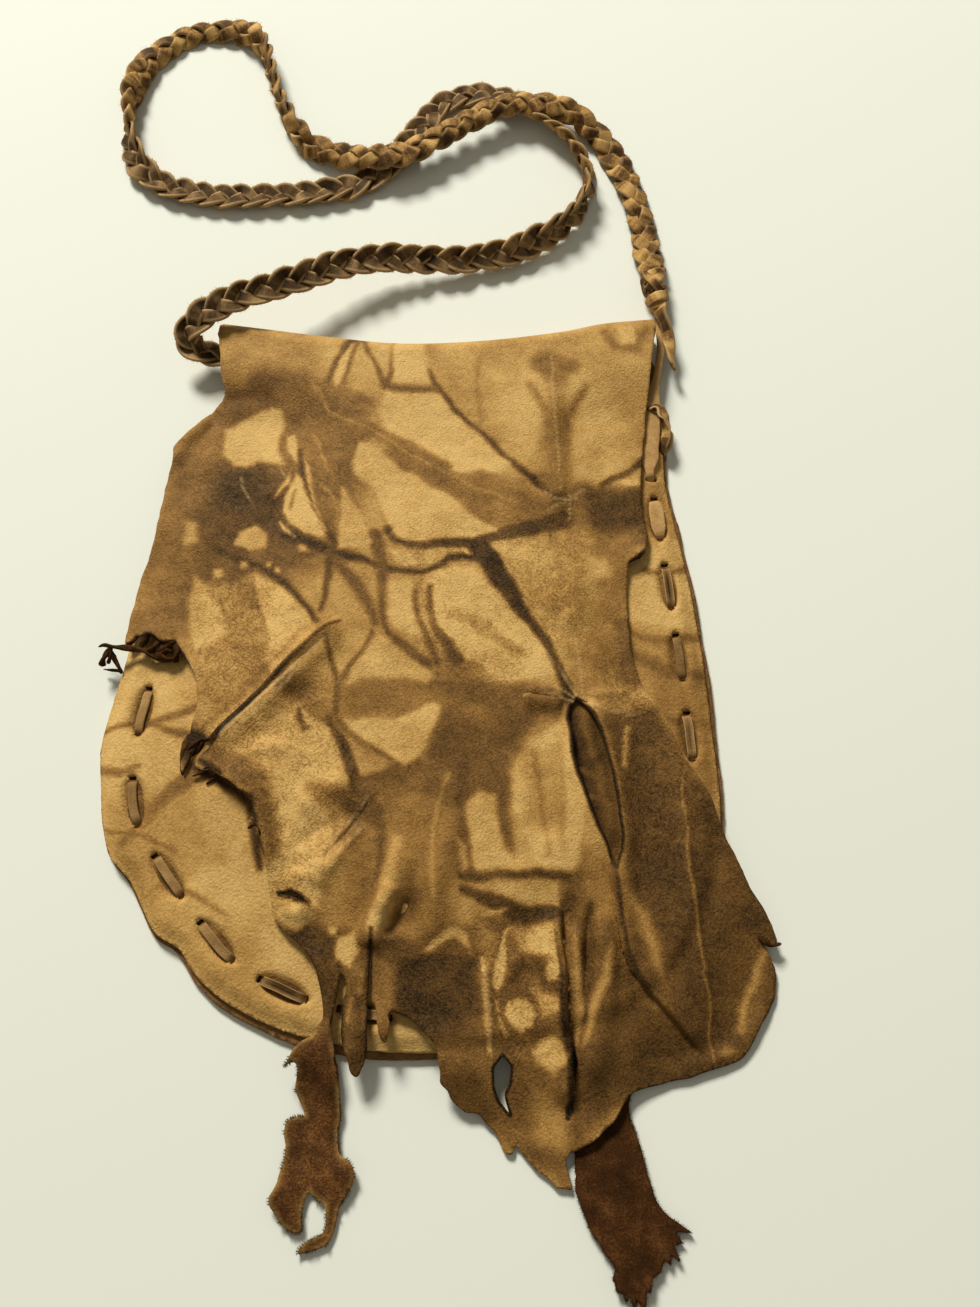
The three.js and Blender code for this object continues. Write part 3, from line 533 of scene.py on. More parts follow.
def flap_height(x, y, distance):
    """Middle of the flap: over the panel and lace, and down to the table outside them."""
    over_lace = mix(2.1, LAYER_GAP, smoothstep(12, 50, distance))
    panel_top = panel_height(x, y, distance) + HALF_THICK
    hanging = mix(panel_top + over_lace + HALF_THICK, 1.0, smoothstep(2, 26, -distance))
    loose = (1.2 * soft_noise(x, y, 44, 21) + 0.6 * soft_noise(x, y, 15, 22)) * smoothstep(-26, 0, distance)
    loose = loose + 0.34 * np.abs(soft_noise(x, y, 9, 25, 2)) * smoothstep(-30, 10, distance)
    near_fold = smoothstep(-40, -10, y - fold_y(x))
    for (lift_x, lift_y), reach, height in FLAP_LIFTS:
        loose = loose + height * np.exp(-((x - lift_x) ** 2 + (y - lift_y) ** 2) / reach**2)
    lying = hanging + relief(x, y) + loose
    lying = np.maximum(lying, 0.95 + 0.3 * soft_noise(x, y, 9, 23))
    return mix(lying, FOLD_CENTRE_Z + FOLD_RADIUS + 0.25 * soft_noise(x, y, 30, 24), near_fold)


def hide_place(x, v):
    """Where a point of the flat hide lies. Below the fold v is y; beyond it the hide rolls over."""
    start = fold_y(x)
    beyond = v - start
    roll = math.pi * FOLD_RADIUS
    angle = np.clip(beyond, 0, roll) / FOLD_RADIUS
    under = np.maximum(beyond - roll, 0)
    y = np.where(beyond < 0, v, start + FOLD_RADIUS * np.sin(angle) - under)
    distance = edge_distance(x, y)
    top = flap_height(x, np.minimum(v, start), distance)
    rolled = FOLD_CENTRE_Z + FOLD_RADIUS * np.cos(angle)
    rolled = rolled + (top - FOLD_CENTRE_Z - FOLD_RADIUS) * np.exp(-beyond.clip(0) / 3)
    z = np.where(beyond < 0, top, np.where(under > 0, back_height(x, y, distance), rolled))
    return np.stack([x, y, z], axis=1)


print("flap height at the middle, mm:", np.round(flap_height(*np.array([[0.0], [0.0], [60.0]])), 1))

# %% [markdown]
# A sheet of leather is filled with small triangles between its outline and its holes. The upper
# side needs about a millimetre between points, because the dye and the painted shade are stored on
# them; the underside can be coarse. Both share the outline, where a narrow wall shows the cut edge.

# %% Sheet maker
def hex_points(low, high, spacing):
    """A close-packed grid of points over a box."""
    rows = np.arange(low[1], high[1], spacing * 0.866)
    columns = np.arange(low[0], high[0], spacing)
    x, y = np.meshgrid(columns, rows)
    x = x + (np.arange(len(rows)) % 2 * spacing / 2)[:, None]
    return np.stack([x.ravel(), y.ravel()], axis=1)


def close_to_lines(points, lines, reach):
    """Which of the points lie within reach of one of the lines."""
    close = np.zeros(len(points), bool)
    for line in lines:
        low, high = np.min(line, axis=0) - reach, np.max(line, axis=0) + reach
        some = np.flatnonzero(((points > low) & (points < high)).all(axis=1))
        away, _, _ = line_distance(points[some, 0], points[some, 1], line)
        close[some] |= away < reach
    return close


def turned(loop, anticlockwise):
    """The loop, run the way round that is asked for."""
    x, y = loop.T
    area = np.sum(x * np.roll(y, -1) - np.roll(x, -1) * y)
    return loop if (area > 0) == anticlockwise else loop[::-1]


def triangulate(loops, filling, spacing):
    """Triangles over the region inside the first loop and outside the others."""
    tree = kdtree.KDTree(sum(map(len, loops)))
    for i, p in enumerate(np.vstack(loops)):
        tree.insert((p[0], p[1], 0), i)
    tree.balance()
    within = inside_rows(filling, loops)
    filling = filling[within]
    clear = np.array([tree.find((p[0], p[1], 0))[2] > 0.5 * spacing for p in filling], bool)
    points = np.vstack([*loops, filling[clear]])
    edges, first = [], 0
    for loop in loops:
        count = len(loop)
        edges += [(first + i, first + (i + 1) % count) for i in range(count)]
        first += count
    _, _, faces, origins, _, _ = delaunay_2d_cdt([Vector(p) for p in points], edges, [], 0, 1e-6)
    where = np.array([origin[0] if origin else -1 for origin in origins])
    faces = where[np.array([face for face in faces if len(face) == 3])]
    faces = faces[(faces >= 0).all(axis=1)]
    on_edge = (faces < first).all(axis=1)
    middles = points[faces[on_edge]].mean(axis=1)
    keep = np.ones(len(faces), bool)
    keep[on_edge] = inside_rows(middles, loops)
    faces = faces[keep]
    a, b, c = points[faces[:, 0]], points[faces[:, 1]], points[faces[:, 2]]
    way = (b[:, 0] - a[:, 0]) * (c[:, 1] - a[:, 1]) - (b[:, 1] - a[:, 1]) * (c[:, 0] - a[:, 0])
    faces[way < 0] = faces[way < 0][:, ::-1]
    return points, faces


def inside_rows(points, loops):
    """Which points lie inside the first loop and outside the others, found row by row."""
    within = np.zeros(len(points), bool)
    x, y = points[:, 0], points[:, 1]
    order = np.argsort(y)
    sorted_y = y[order]
    for loop in loops:
        for (x0, y0), (x1, y1) in zip(loop, np.roll(loop, -1, axis=0)):
            if y0 == y1:
                continue
            first, last = np.searchsorted(sorted_y, [min(y0, y1), max(y0, y1)])
            some = order[first:last]
            within[some] ^= x[some] < x0 + (y[some] - y0) / (y1 - y0) * (x1 - x0)
    return within


def corner_normals(points, faces):
    """Smooth normals of a triangle mesh."""
    a, b, c = points[faces[:, 0]], points[faces[:, 1]], points[faces[:, 2]]
    across = np.cross(b - a, c - a)
    normals = np.zeros_like(points)
    for k in range(3):
        np.add.at(normals, faces[:, k], across)
    return normals / np.maximum(np.linalg.norm(normals, axis=1, keepdims=True), 1e-9)


def leather_sheet(name, loops, fine, coarse, spacing, place, thickness):
    """A leather sheet with a fine upper side, a coarse underside and a wall round each loop."""
    loops = [turned(loops[0], True)] + [turned(loop, False) for loop in loops[1:]]
    top, top_faces = triangulate(loops, fine, spacing)
    low, low_faces = triangulate(loops, coarse, spacing)
    rim = sum(map(len, loops))
    top_middle, low_middle = place(top[:, 0], top[:, 1]), place(low[:, 0], low[:, 1])
    top_normals = corner_normals(top_middle, top_faces)
    low_normals = corner_normals(low_middle, low_faces)
    low_normals[:rim] = top_normals[:rim]
    verts = np.vstack([top_middle + top_normals * thickness / 2, low_middle - low_normals * thickness / 2])
    down = len(top)
    walls, first = [], 0
    for loop in loops:
        count = len(loop)
        for i in range(count):
            a, b = first + i, first + (i + 1) % count
            walls.append((a, a + down, b + down, b))
        first += count
    faces = top_faces.tolist() + (low_faces[:, ::-1] + down).tolist() + walls
    piece = mesh_piece(name, verts, faces)
    slots = [0] * len(top_faces) + [1] * len(low_faces) + [2] * len(walls)
    piece.data.polygons.foreach_set("material_index", slots)
    return piece, np.vstack([top, low]), top_faces


# %% [markdown]
# The brown cloudy pattern comes from scrunching the wet leather up and pouring dye over it, so
# every streak is a place where dye ran into a fold. It is painted here the way it came about:
# broad washes first, then streaks, then the light islands that the folds protected. Each point
# of the hide keeps one number, from 0 for bare tan leather to 1 for the darkest brown. The same
# number also carries painted shade in creases, laps and round holes, and some painted highlights.

# %% Painter for dye and painted shade
def bend_places(x, y, seed):
    """Shift places a little, so that painted edges wander as dye does."""
    shift_x = 1.1 * soft_noise(x, y, 9, seed, 3) + 0.35 * soft_noise(x, y, 2.2, seed + 3, 2)
    shift_y = 1.1 * soft_noise(x, y, 9, seed + 5, 3) + 0.35 * soft_noise(x, y, 2.2, seed + 8, 2)
    return x + shift_x, y + shift_y


def paint_area(tone, x, y, depth, soft, places, strength=1.0):
    low, high = np.min(places, axis=0) - 3 * soft, np.max(places, axis=0) + 3 * soft
    near = np.flatnonzero((x > low[0]) & (x < high[0]) & (y > low[1]) & (y < high[1]))
    if len(near):
        away, _, _ = line_distance(x[near], y[near], [*places, places[0]])
        signed = np.where(inside(x[near], y[near], places), away, -away)
        cover = strength * smoothstep(-soft, soft, signed)
        tone[near] = mix(tone[near], depth, cover)


def paint_line(tone, x, y, depth, soft, widths, places, strength=1.0):
    reach = max(widths) + 2 * soft
    low, high = np.min(places, axis=0) - reach, np.max(places, axis=0) + reach
    near = np.flatnonzero((x > low[0]) & (x < high[0]) & (y > low[1]) & (y < high[1]))
    if len(near):
        away, share, _ = line_distance(x[near], y[near], places)
        half = np.interp(share, np.linspace(0, 1, len(widths)), widths)
        cover = strength * (1 - smoothstep(half - soft, half + soft, away))
        tone[near] = mix(tone[near], depth, cover)


def paint_areas(tone, x, y, table):
    for depth, soft, places in table:
        paint_area(tone, x, y, depth, soft, places)


def paint_lines(tone, x, y, table):
    for depth, soft, widths, places in table:
        paint_line(tone, x, y, depth, soft, widths, places)


print("painters ready")

# %% Dye, painted shade and painted highlights of the flap
# Areas: depth, softness, places. They are painted in this order.
FLAP_WASHES = [
    (0.50, 6, [(-84, 151), (-60, 149), (-34, 149), (-28, 138), (-22, 120), (-26, 100), (-28, 74), (-52, 60),
        (-60, 30), (-112, 40), (-108, 70), (-101, 120), (-84, 138)]),
    (0.30, 5, [(-84, 172), (-52, 170), (-40, 150), (-84, 148)]),
    (0.72, 5, [(-83, 112), (-62, 112), (-50, 100), (-46, 76), (-60, 66), (-84, 66), (-88, 86)]),
    (0.80, 4, [(-79, 109), (-66, 110), (-58, 98), (-58, 90), (-72, 88), (-80, 96)]),
    (0.62, 4, [(-80, 76), (-56, 78), (-50, 68), (-66, 63), (-82, 64)]),
    (0.48, 3, [(-14, 120), (0, 114), (10, 107), (20, 108), (30, 104), (45, 95), (60, 97), (60, 82),
        (48, 80), (28, 83), (20, 87), (12, 96), (0, 103), (-10, 108), (-18, 114)]),
    (0.56, 5, [(44, 107), (62, 106), (62, 84), (46, 84)]),
    (0.80, 3, [(60, 103), (84, 104), (86, 78), (70, 76), (61, 84)]),
    (0.30, 5, [(48, 84), (62, 84), (66, 50), (60, 18), (50, 18), (46, 50)]),
    (0.46, 5, [(64, 84), (80, 84), (80, 10), (62, 10), (62, 40)]),
    (0.68, 2.5, [(70.5, 48), (78, 50), (80, 22), (72, 22)]),
    (0.45, 4, [(-44, 24), (12, 24), (12, 8), (-44, 8)]),
    (0.58, 2.5, [(8, 22), (20, 23), (35, 22), (47, 20), (53, 14), (48, 9), (42, 9), (38, 5), (35, 0),
        (32, -6), (31, -12), (31, -48), (14, -50), (-6, -30), (-22, -17), (-18, -14), (-8, -10), (-1, -8),
        (2, -4), (5, 2), (7, 8), (8, 14)]),
    (0.44, 5, [(-26, -18), (12, -18), (12, -66), (-28, -66)]),
    (0.30, 5, [(-76, 0), (-60, 14), (-50, 10), (-46, -12), (-52, -50), (-62, -20)]),
    (0.18, 6, [(-60, 10), (-30, 10), (-24, -12), (-28, -46), (-52, -52), (-52, -14)]),
    (0.74, 4, [(64, 14), (84, 14), (126, -60), (124, -112), (66, -120), (70, -60), (71, -30)]),
    (0.66, 4, [(50, -40), (68, -44), (70, -118), (50, -138), (46, -100), (47, -70)]),
    (0.36, 4, [(53, -30), (66, -46), (68, -60), (56, -62)]),
    (0.66, 5, [(-28, -66), (20, -64), (30, -120), (10, -122), (-28, -104)]),
    (0.96, 5, [(-6, -72), (20, -74), (22, -92), (6, -102), (-12, -94)]),
    (0.60, 4, [(24, -62), (50, -60), (50, -148), (14, -126), (22, -100)]),
    (0.62, 3, [(8, -102), (24, -98), (26, -128), (6, -118)]),
    (0.82, 3, [(-47, -62), (-26, -66), (-22, -96), (-34, -96)]),
    (0.66, 2, [(-27, -78), (-16, -78), (-14, -114), (-28, -114)]),
    (0.55, 2, [(-16, -74), (-8, -78), (-8, -104), (-16, -104)]),
]
# Streaks: depth, softness, half widths along the streak, places
FLAP_STREAKS = [
    (0.52, 4, (5, 4), [(-82, 143), (-62, 144)]),
    (0.60, 4, (4, 5, 6, 5), [(-66, 148), (-51, 146), (-43, 140), (-31, 133)]),
    (0.82, 1.2, (0.8, 1.0, 1.5), [(0, 153), (2, 147), (6, 142), (10, 135), (15, 130), (20, 125), (25, 120),
        (30, 114), (35, 109.5), (42, 103), (50, 98)]),
    (0.40, 1.5, (0.8, 0.6), [(20, 127), (20, 135), (19, 150), (19, 160)]),
    (0.60, 1.5, (1.6, 1.7, 1.5), [(-17, 145), (-8, 144), (3, 144.4)]),
    (0.70, 1.0, (0.9, 1.0, 1.3), [(-14, 167), (-14.5, 160), (-15, 150), (-17, 146)]),
    (0.62, 1.0, (0.7, 0.8, 1.2), [(-27, 168.5), (-24, 160), (-20, 152), (-18, 147)]),
    (0.66, 1.0, (2, 1.2, 1.2), [(-30, 168), (-34, 163), (-37, 157), (-39, 151), (-41, 145)]),
    (0.60, 0.9, (0.8, 0.8), [(-28, 166), (-31, 158), (-33, 150), (-35, 143)]),
    (0.54, 2.5, (2.5, 3, 2), [(-38, 145), (-32, 141), (-24, 139)]),
    (0.50, 4, (4, 5), [(47, 156), (50, 146), (50, 132), (49, 118), (50, 104)]),
    (0.56, 3, (4, 3), [(44, 156), (56, 154)]),
    (0.56, 2, (1.4, 3), [(40, 146), (47, 132), (50, 120)]),
    (0.56, 2, (1.4, 2.4), [(62, 146), (54, 132), (52, 118)]),
    (0.50, 2, (1.4, 1.6, 1.4), [(70, 170), (74, 163), (82, 163), (86, 171)]),
    (0.78, 1.0, (1.4, 1.2, 1.2), [(68, 104.6), (76, 109), (84, 115)]),
    (0.84, 1.2, (0.9, 1.4, 1.2), [(-49.5, 118), (-48.5, 108), (-45, 99), (-41, 89), (-37, 81), (-33, 76)]),
    (0.84, 1.3, (1.6, 1.4, 1.2, 1.1), [(-80, 77), (-70, 72), (-62, 69), (-57, 66), (-52, 61), (-48, 56),
        (-44, 51), (-40, 46)]),
    (0.84, 1.1, (2.2, 2.0, 1.7, 1.2, 1.0, 1.2, 1.6), [(-54, 82), (-45, 78), (-38, 75), (-33, 73.5),
        (-28, 71.5), (-22, 70), (-17, 68), (-13, 66.5), (-8, 65.5), (0, 66), (5, 68), (9, 70.5), (13, 71.5),
        (20, 71)]),
    (0.80, 1.0, (2, 1.8, 2.2, 3, 3.5), [(-14, 83), (-11, 79), (-7, 77), (0, 76.5), (8, 77), (15, 77.5),
        (24, 80), (32, 82), (42, 84), (52, 88)]),
    (0.62, 1.2, (3, 2.4, 1.6, 1.2, 1.0, 1.6, 2.6), [(-19, 80), (-18, 73), (-16.5, 66), (-16, 58),
        (-15.5, 52), (-15, 46), (-13, 41), (-9, 37), (-4, 33), (0, 29)]),
    (0.72, 1.0, (1.8, 1.2, 0.7), [(-36, 74), (-35.5, 68), (-36, 62), (-37, 56), (-38.5, 50)]),
    (0.58, 1.6, (1.4, 2.4, 1.2), [(-34, 71), (-30, 66), (-26, 61), (-22, 55), (-19, 49), (-18, 44)]),
    (0.72, 0.9, (0.8, 1.0, 1.5), [(-36, 38), (-34, 31), (-31.5, 24), (-30.5, 18), (-31, 11), (-32, 8)]),
    (0.64, 1.0, (1.2, 1.0, 0.6), [(-30, 22), (-27, 27), (-22, 35), (-19, 41)]),
    (0.56, 2.0, (3.5, 4, 3), [(-49, 21), (-42, 16), (-34, 9)]),
    (0.80, 0.8, (0.7, 0.9, 0.5), [(-45, 11), (-44, 7), (-43, 4), (-41, 5)]),
    (0.78, 1.0, (1.6, 2.0, 2.2), [(-33, 9), (-31, 4), (-28, -2), (-26, -8), (-24, -14), (-23, -18)]),
    (0.58, 1.2, (2, 1.4, 0.8), [(-31, 8), (-27, 5), (-22, 1), (-17, -2), (-12, -6), (-8, -9)]),
    (0.60, 1.2, (1.2, 1.6, 2.0), [(-22, -15), (-18, -14), (-13, -12), (-8, -9), (-2, -8)]),
    (0.64, 1.6, (2.4, 2.8, 2.0), [(-22, -16), (-16, -24), (-12, -38), (-14, -56)]),
    (0.64, 2.2, (2.4, 1.8, 1.2), [(13, -10), (13.5, -20), (14.5, -30), (16, -38), (18, -46)]),
    (0.58, 1.8, (2, 1.6), [(27, -10), (28, -20), (29, -30), (31, -40)]),
    (0.74, 1.0, (1.3, 1.3, 1.6), [(14, -47), (20, -48), (30, -47.5), (40, -46.5), (50, -48)]),
    (0.78, 1.1, (1.6, 2.6, 3.0, 2.4), [(15, -52), (22, -55), (30, -58.5), (38, -61), (46, -60), (51, -57)]),
    (0.76, 1.4, (2.4, 2.6), [(33, -78), (38, -76), (42, -80), (47, -84)]),
]
# Light islands: depth, softness, places
FLAP_ISLANDS = [
    (0.05, 1.4, [(-72, 133), (-62, 138), (-58, 136.5), (-57, 130), (-59, 124), (-58, 117), (-55, 112),
        (-66, 113.5), (-70, 111), (-75, 112), (-77, 114), (-80, 116), (-80.5, 128)]),
    (0.10, 0.9, [(-56, 125.5), (-53, 126), (-51, 120), (-50.5, 112), (-55, 118)]),
    (0.10, 0.8, [(-53, 109), (-59, 99), (-60, 97.5), (-57, 99), (-53, 104)]),
    (0.06, 0.9, [(-50.5, 108), (-52, 104), (-55, 97), (-55, 91), (-52, 86), (-46, 81.5), (-40, 79.5),
        (-37.5, 80), (-40, 86), (-45, 97), (-48, 104)]),
    (0.10, 0.8, [(-48, 115.5), (-48, 110), (-46, 103), (-42, 92), (-39, 84), (-37, 81.5), (-40, 89),
        (-43, 98), (-45, 106)]),
    (0.15, 0.7, [(-56, 87), (-55.5, 84), (-52, 81), (-50, 80.5), (-53, 84)]),
    (0.10, 1.2, [(-32, 101.5), (-31, 100), (-27, 93), (-23, 84), (-20, 78), (-22, 75.5), (-33, 75),
        (-33, 85)]),
    (0.06, 1.2, [(-27, 120.5), (-23, 120), (-14, 112), (-10, 108), (-4, 106), (0, 101), (8, 98.5), (12, 94),
        (17, 90), (22, 86), (27, 83.5), (27, 82.5), (20, 80.5), (10, 79.5), (0, 78.5), (-8, 78),
        (-11, 79.5), (-14, 85), (-17, 92), (-20, 100), (-24, 103), (-27, 106), (-29, 112)]),
    (0.03, 1.3, [(-20, 134), (-17, 143), (-13, 142), (0, 143), (5, 141), (10, 133), (20, 124), (32, 111),
        (28, 106), (20, 109), (12, 107), (5, 112), (0, 116), (-8, 121), (-14, 123), (-18, 128)]),
    (0.08, 1.0, [(-30.5, 165), (-35, 157), (-38, 149), (-37, 144.5), (-35.5, 147), (-33, 155)]),
    (0.06, 2.0, [(-15, 166), (-2, 167), (0, 148), (-14, 148)]),
    (0.10, 0.9, [(75, 107), (81, 106.6), (81, 104.4), (76, 104.6)]),
    (0.08, 1.2, [(75, 173), (81, 173), (82, 165), (76, 165)]),
    (0.34, 2.0, [(-82, 62), (-72, 64), (-64, 66), (-62, 55), (-58, 45), (-55, 38), (-56, 28), (-60, 22),
        (-75, 14), (-82, 18), (-82, 30), (-78, 40), (-72, 45), (-74, 52), (-80, 57)]),
    (0.14, 1.4, [(-87, 66), (-82, 62), (-78, 55), (-74, 48), (-72, 43), (-76, 40), (-84, 36), (-88, 46),
        (-88, 56)]),
    (0.05, 1.3, [(-64, 66), (-55, 61), (-50, 56), (-44, 50), (-39, 44), (-40, 40), (-45, 35), (-50, 30),
        (-55, 25), (-57, 30), (-56, 40), (-59, 48), (-62, 56)]),
    (0.16, 1.6, [(-78, 10), (-68, 20), (-60, 24), (-63, 15), (-70, 8), (-76, 4)]),
    (0.12, 0.9, [(-80, 68), (-77, 69), (-76, 66), (-79, 65)]),
    (0.14, 0.8, [(-70, 71.4), (-67, 71), (-67, 69), (-70, 69)]),
    (0.12, 0.8, [(-60, 70.6), (-57.6, 70), (-58, 68), (-60, 68.4)]),
    (0.12, 0.8, [(-56, 68.6), (-54, 68), (-54, 65.6), (-56, 66)]),
    (0.12, 0.9, [(-49, 77), (-46, 76.6), (-45, 74), (-48, 74)]),
    (0.14, 1.0, [(-73, 79), (-71, 84), (-65, 86), (-61, 83), (-61, 77), (-67, 76)]),
    (0.20, 1.5, [(-93, 88), (-88, 88), (-87, 79), (-92, 78)]),
    (0.10, 1.2, [(-14, 38), (-8, 33), (-3, 30), (2, 26), (3.5, 24), (1.5, 21.5), (-2, 23), (-8, 24),
        (-14, 23.5), (-22, 23.5), (-27, 21), (-25, 28), (-20, 37), (-16, 40)]),
    (0.06, 1.2, [(-28, 8), (-20, 8.5), (-10, 8), (-5, 10), (0, 13), (4, 14.5), (6, 13), (6, 9), (4, 4),
        (1, -2), (-2, -6), (-6, -9), (-12, -5), (-20, 0), (-26, 5)]),
    (0.05, 1.5, [(46, 6.5), (43, 4), (38, -1), (34, -6), (32, -11), (32, -18), (33, -25), (36, -35),
        (40, -44), (52, -46), (55, -40), (57, -30), (58, -20), (56, -12), (54, -8), (53, 0), (51, 3),
        (48, 6)]),
    (0.04, 1.5, [(0, 65), (10, 67), (18, 68), (22, 62), (27, 57), (30, 50), (35, 46), (39, 42), (43, 37),
        (46, 32), (48, 27), (46, 25), (38, 23.5), (30, 23), (25, 25), (20, 29), (15, 31), (11, 37), (7, 42),
        (4, 47), (2, 53), (0, 60)]),
    (0.06, 0.7, [(13, 75), (19, 76), (17, 73), (15, 72.5)]),
    (0.10, 0.9, [(0, 73), (5, 75), (7.5, 75), (8, 72), (5, 70.5), (0, 68)]),
    (0.08, 0.9, [(-14, 75), (-12, 70), (-8, 67.5), (-3, 69), (-6, 73)]),
    (0.08, 1.2, [(-13, 62), (-5, 62), (-5, 52), (-3, 45), (-2, 40), (-6, 41), (-10, 43), (-13, 48)]),
    (0.16, 2.0, [(30, 78), (38, 80), (46, 78), (49, 70), (48, 60), (44, 50), (40, 48), (36, 54), (32, 62),
        (28, 70)]),
    (0.18, 2.5, [(61, 73), (68, 74), (70, 66), (63, 64)]),
    (0.08, 1.0, [(26, -52), (31, -50), (40, -49.5), (47, -49), (47, -58), (42, -57), (35, -55.5),
        (28, -54)]),
    (0.10, 0.8, [(20, -61), (24, -59), (30, -58.6), (28, -60.5)]),
    (0.06, 0.8, [(30, -65), (29, -70), (29.5, -77), (28.5, -82), (26, -85.5), (24.8, -83), (26, -76),
        (27, -70)]),
    (0.24, 2.0, [(31, -64), (46, -63), (48, -78), (42, -74), (34, -73)]),
    (0.10, 1.0, [(36, -66), (44, -64), (47, -68), (45, -74), (40, -74), (36, -71)]),
    (0.14, 0.9, [(43, -77), (47, -75), (47, -82), (44, -82)]),
    (0.06, 0.9, [(30, -89), (34, -87.5), (38, -89), (40, -93), (38, -97), (34, -99), (31, -97), (29, -93)]),
    (0.25, 1.2, [(38, -84), (47, -88), (48, -92), (42, -94)]),
    (0.12, 1.4, [(38, -105), (41, -101), (46, -99), (49, -104), (49, -109), (45, -112), (40, -109)]),
    (0.36, 2.5, [(38, -116), (49, -120), (49, -136), (40, -134)]),
    (0.20, 0.7, [(5, -72), (9, -70), (12, -68), (17, -71), (19, -74), (16, -66), (11, -64.5), (6, -68),
        (2, -72)]),
    (0.14, 1.4, [(16, -22), (20, -18), (26, -20), (27, -28), (29, -38), (33, -42), (38, -44), (30, -46),
        (20, -45.5), (18, -42), (17, -34), (15.5, -26)]),
    (0.22, 1.0, [(13, -35), (16, -38), (17, -44), (15, -46), (14, -42)]),
    (0.30, 3.5, [(-10, -32), (-7, -35), (-5, -50), (-9, -62), (-16, -68), (-17, -64), (-12, -55)]),
    (0.14, 1.8, [(-17, -64), (-14, -60), (-9, -57), (-11, -64), (-15, -70)]),
    (0.03, 1.0, [(-35, -47), (-41, -50), (-40, -55), (-36, -58), (-33, -52)]),
    (0.05, 1.2, [(-48, -58), (-40, -56), (-36, -62), (-42, -66), (-48, -62)]),
    (0.12, 1.0, [(-31, -64), (-28, -64), (-28, -67), (-31, -67)]),
    (0.10, 1.2, [(-28, -68), (-22, -66), (-20, -72), (-23, -78), (-28, -75)]),
    (0.40, 1.2, [(103, -103), (107, -104), (104, -107), (101, -106)]),
]
# Soft changes of tone over everything: amount, softness, places. The ones noted inside are painted
# shade and painted highlight.
FLAP_TONING = [
    (-0.10, 8, [(20, 160), (76, 160), (76, 96), (50, 100), (30, 118), (15, 140)]),
    (-0.07, 8, [(-72, 165), (15, 165), (15, 146), (-60, 140)]),
    (-0.12, 4, [(42, 146), (56, 146), (56, 134), (42, 134)]),
    (-0.10, 4, [(58, 92), (74, 92), (74, 80), (58, 80)]),
    (-0.08, 5, [(-44, 20), (-28, 12), (-28, -24), (-44, -40), (-52, -30)]),
    (-0.10, 5, [(-19, -68), (-13, -67), (-5, -48), (-9, -46)]),
    (-0.12, 5, [(-14, -62), (8, -58), (14, -66), (14, -90), (-10, -84)]),
    (-0.10, 4, [(14, -84), (22, -80), (22, -98), (12, -96)]),
    (-0.08, 5, [(64, -50), (76, -50), (82, -70), (96, -100), (84, -108), (72, -80)]),
    # Painted highlight over the cracked ridges at the slit's top right
    (-0.16, 2, [(60, 16), (74, 13), (74, 9), (60, 11)]),
    (-0.10, 3, [(60, 68), (72, 70), (70, 56), (60, 56)]),
    (-0.10, 3, [(-54, 104), (-46, 104), (-48, 90), (-56, 92)]),
    (-0.10, 4, [(20, -110), (30, -108), (30, -122), (22, -118)]),
    (-0.12, 3, [(112, -66), (120, -74), (116, -100), (106, -112), (104, -104), (112, -90)]),
    (0.20, 4, [(34, -2), (48, -2), (50, -30), (36, -30)]),
    (0.10, 4, [(22, -48), (48, -47), (48, -52), (22, -53)]),
    (0.10, 4, [(18, -56), (48, -58), (48, -68), (18, -64)]),
    (0.12, 5, [(0, 40), (34, 34), (30, 26), (2, 22)]),
    (0.10, 4, [(-66, 62), (-56, 60), (-54, 48), (-66, 50)]),
    (0.08, 4, [(-76, 120), (-66, 120), (-66, 112), (-76, 112)]),
    (0.08, 4, [(-28, -26), (-18, -20), (-22, -48), (-34, -46)]),
    (0.06, 5, [(-20, 10), (20, 6), (20, -10), (-20, -16)]),
    (0.08, 3, [(22, 72), (30, 72), (34, 58), (26, 58)]),
    (0.10, 4, [(72, -112), (90, -110), (88, -118), (72, -120)]),
    (0.08, 4, [(30, 70), (48, 70), (46, 50), (32, 52)]),
    # Painted shade along the rolled upper side of the long crease
    (0.30, 2.5, [(-42, 44), (-70, 12), (-80, 4), (-76, 10), (-60, 26), (-46, 42)]),
    (0.60, 2.0, [(-87, 0), (-84, 6), (-79, 5), (-74, 1), (-80, -3), (-84, -10)]),
    # Painted shade in the valley beside a pale ridge
    (0.20, 3.5, [(-13, -72), (-9, -70), (0, -54), (-3, -52), (-10, -62)]),
]
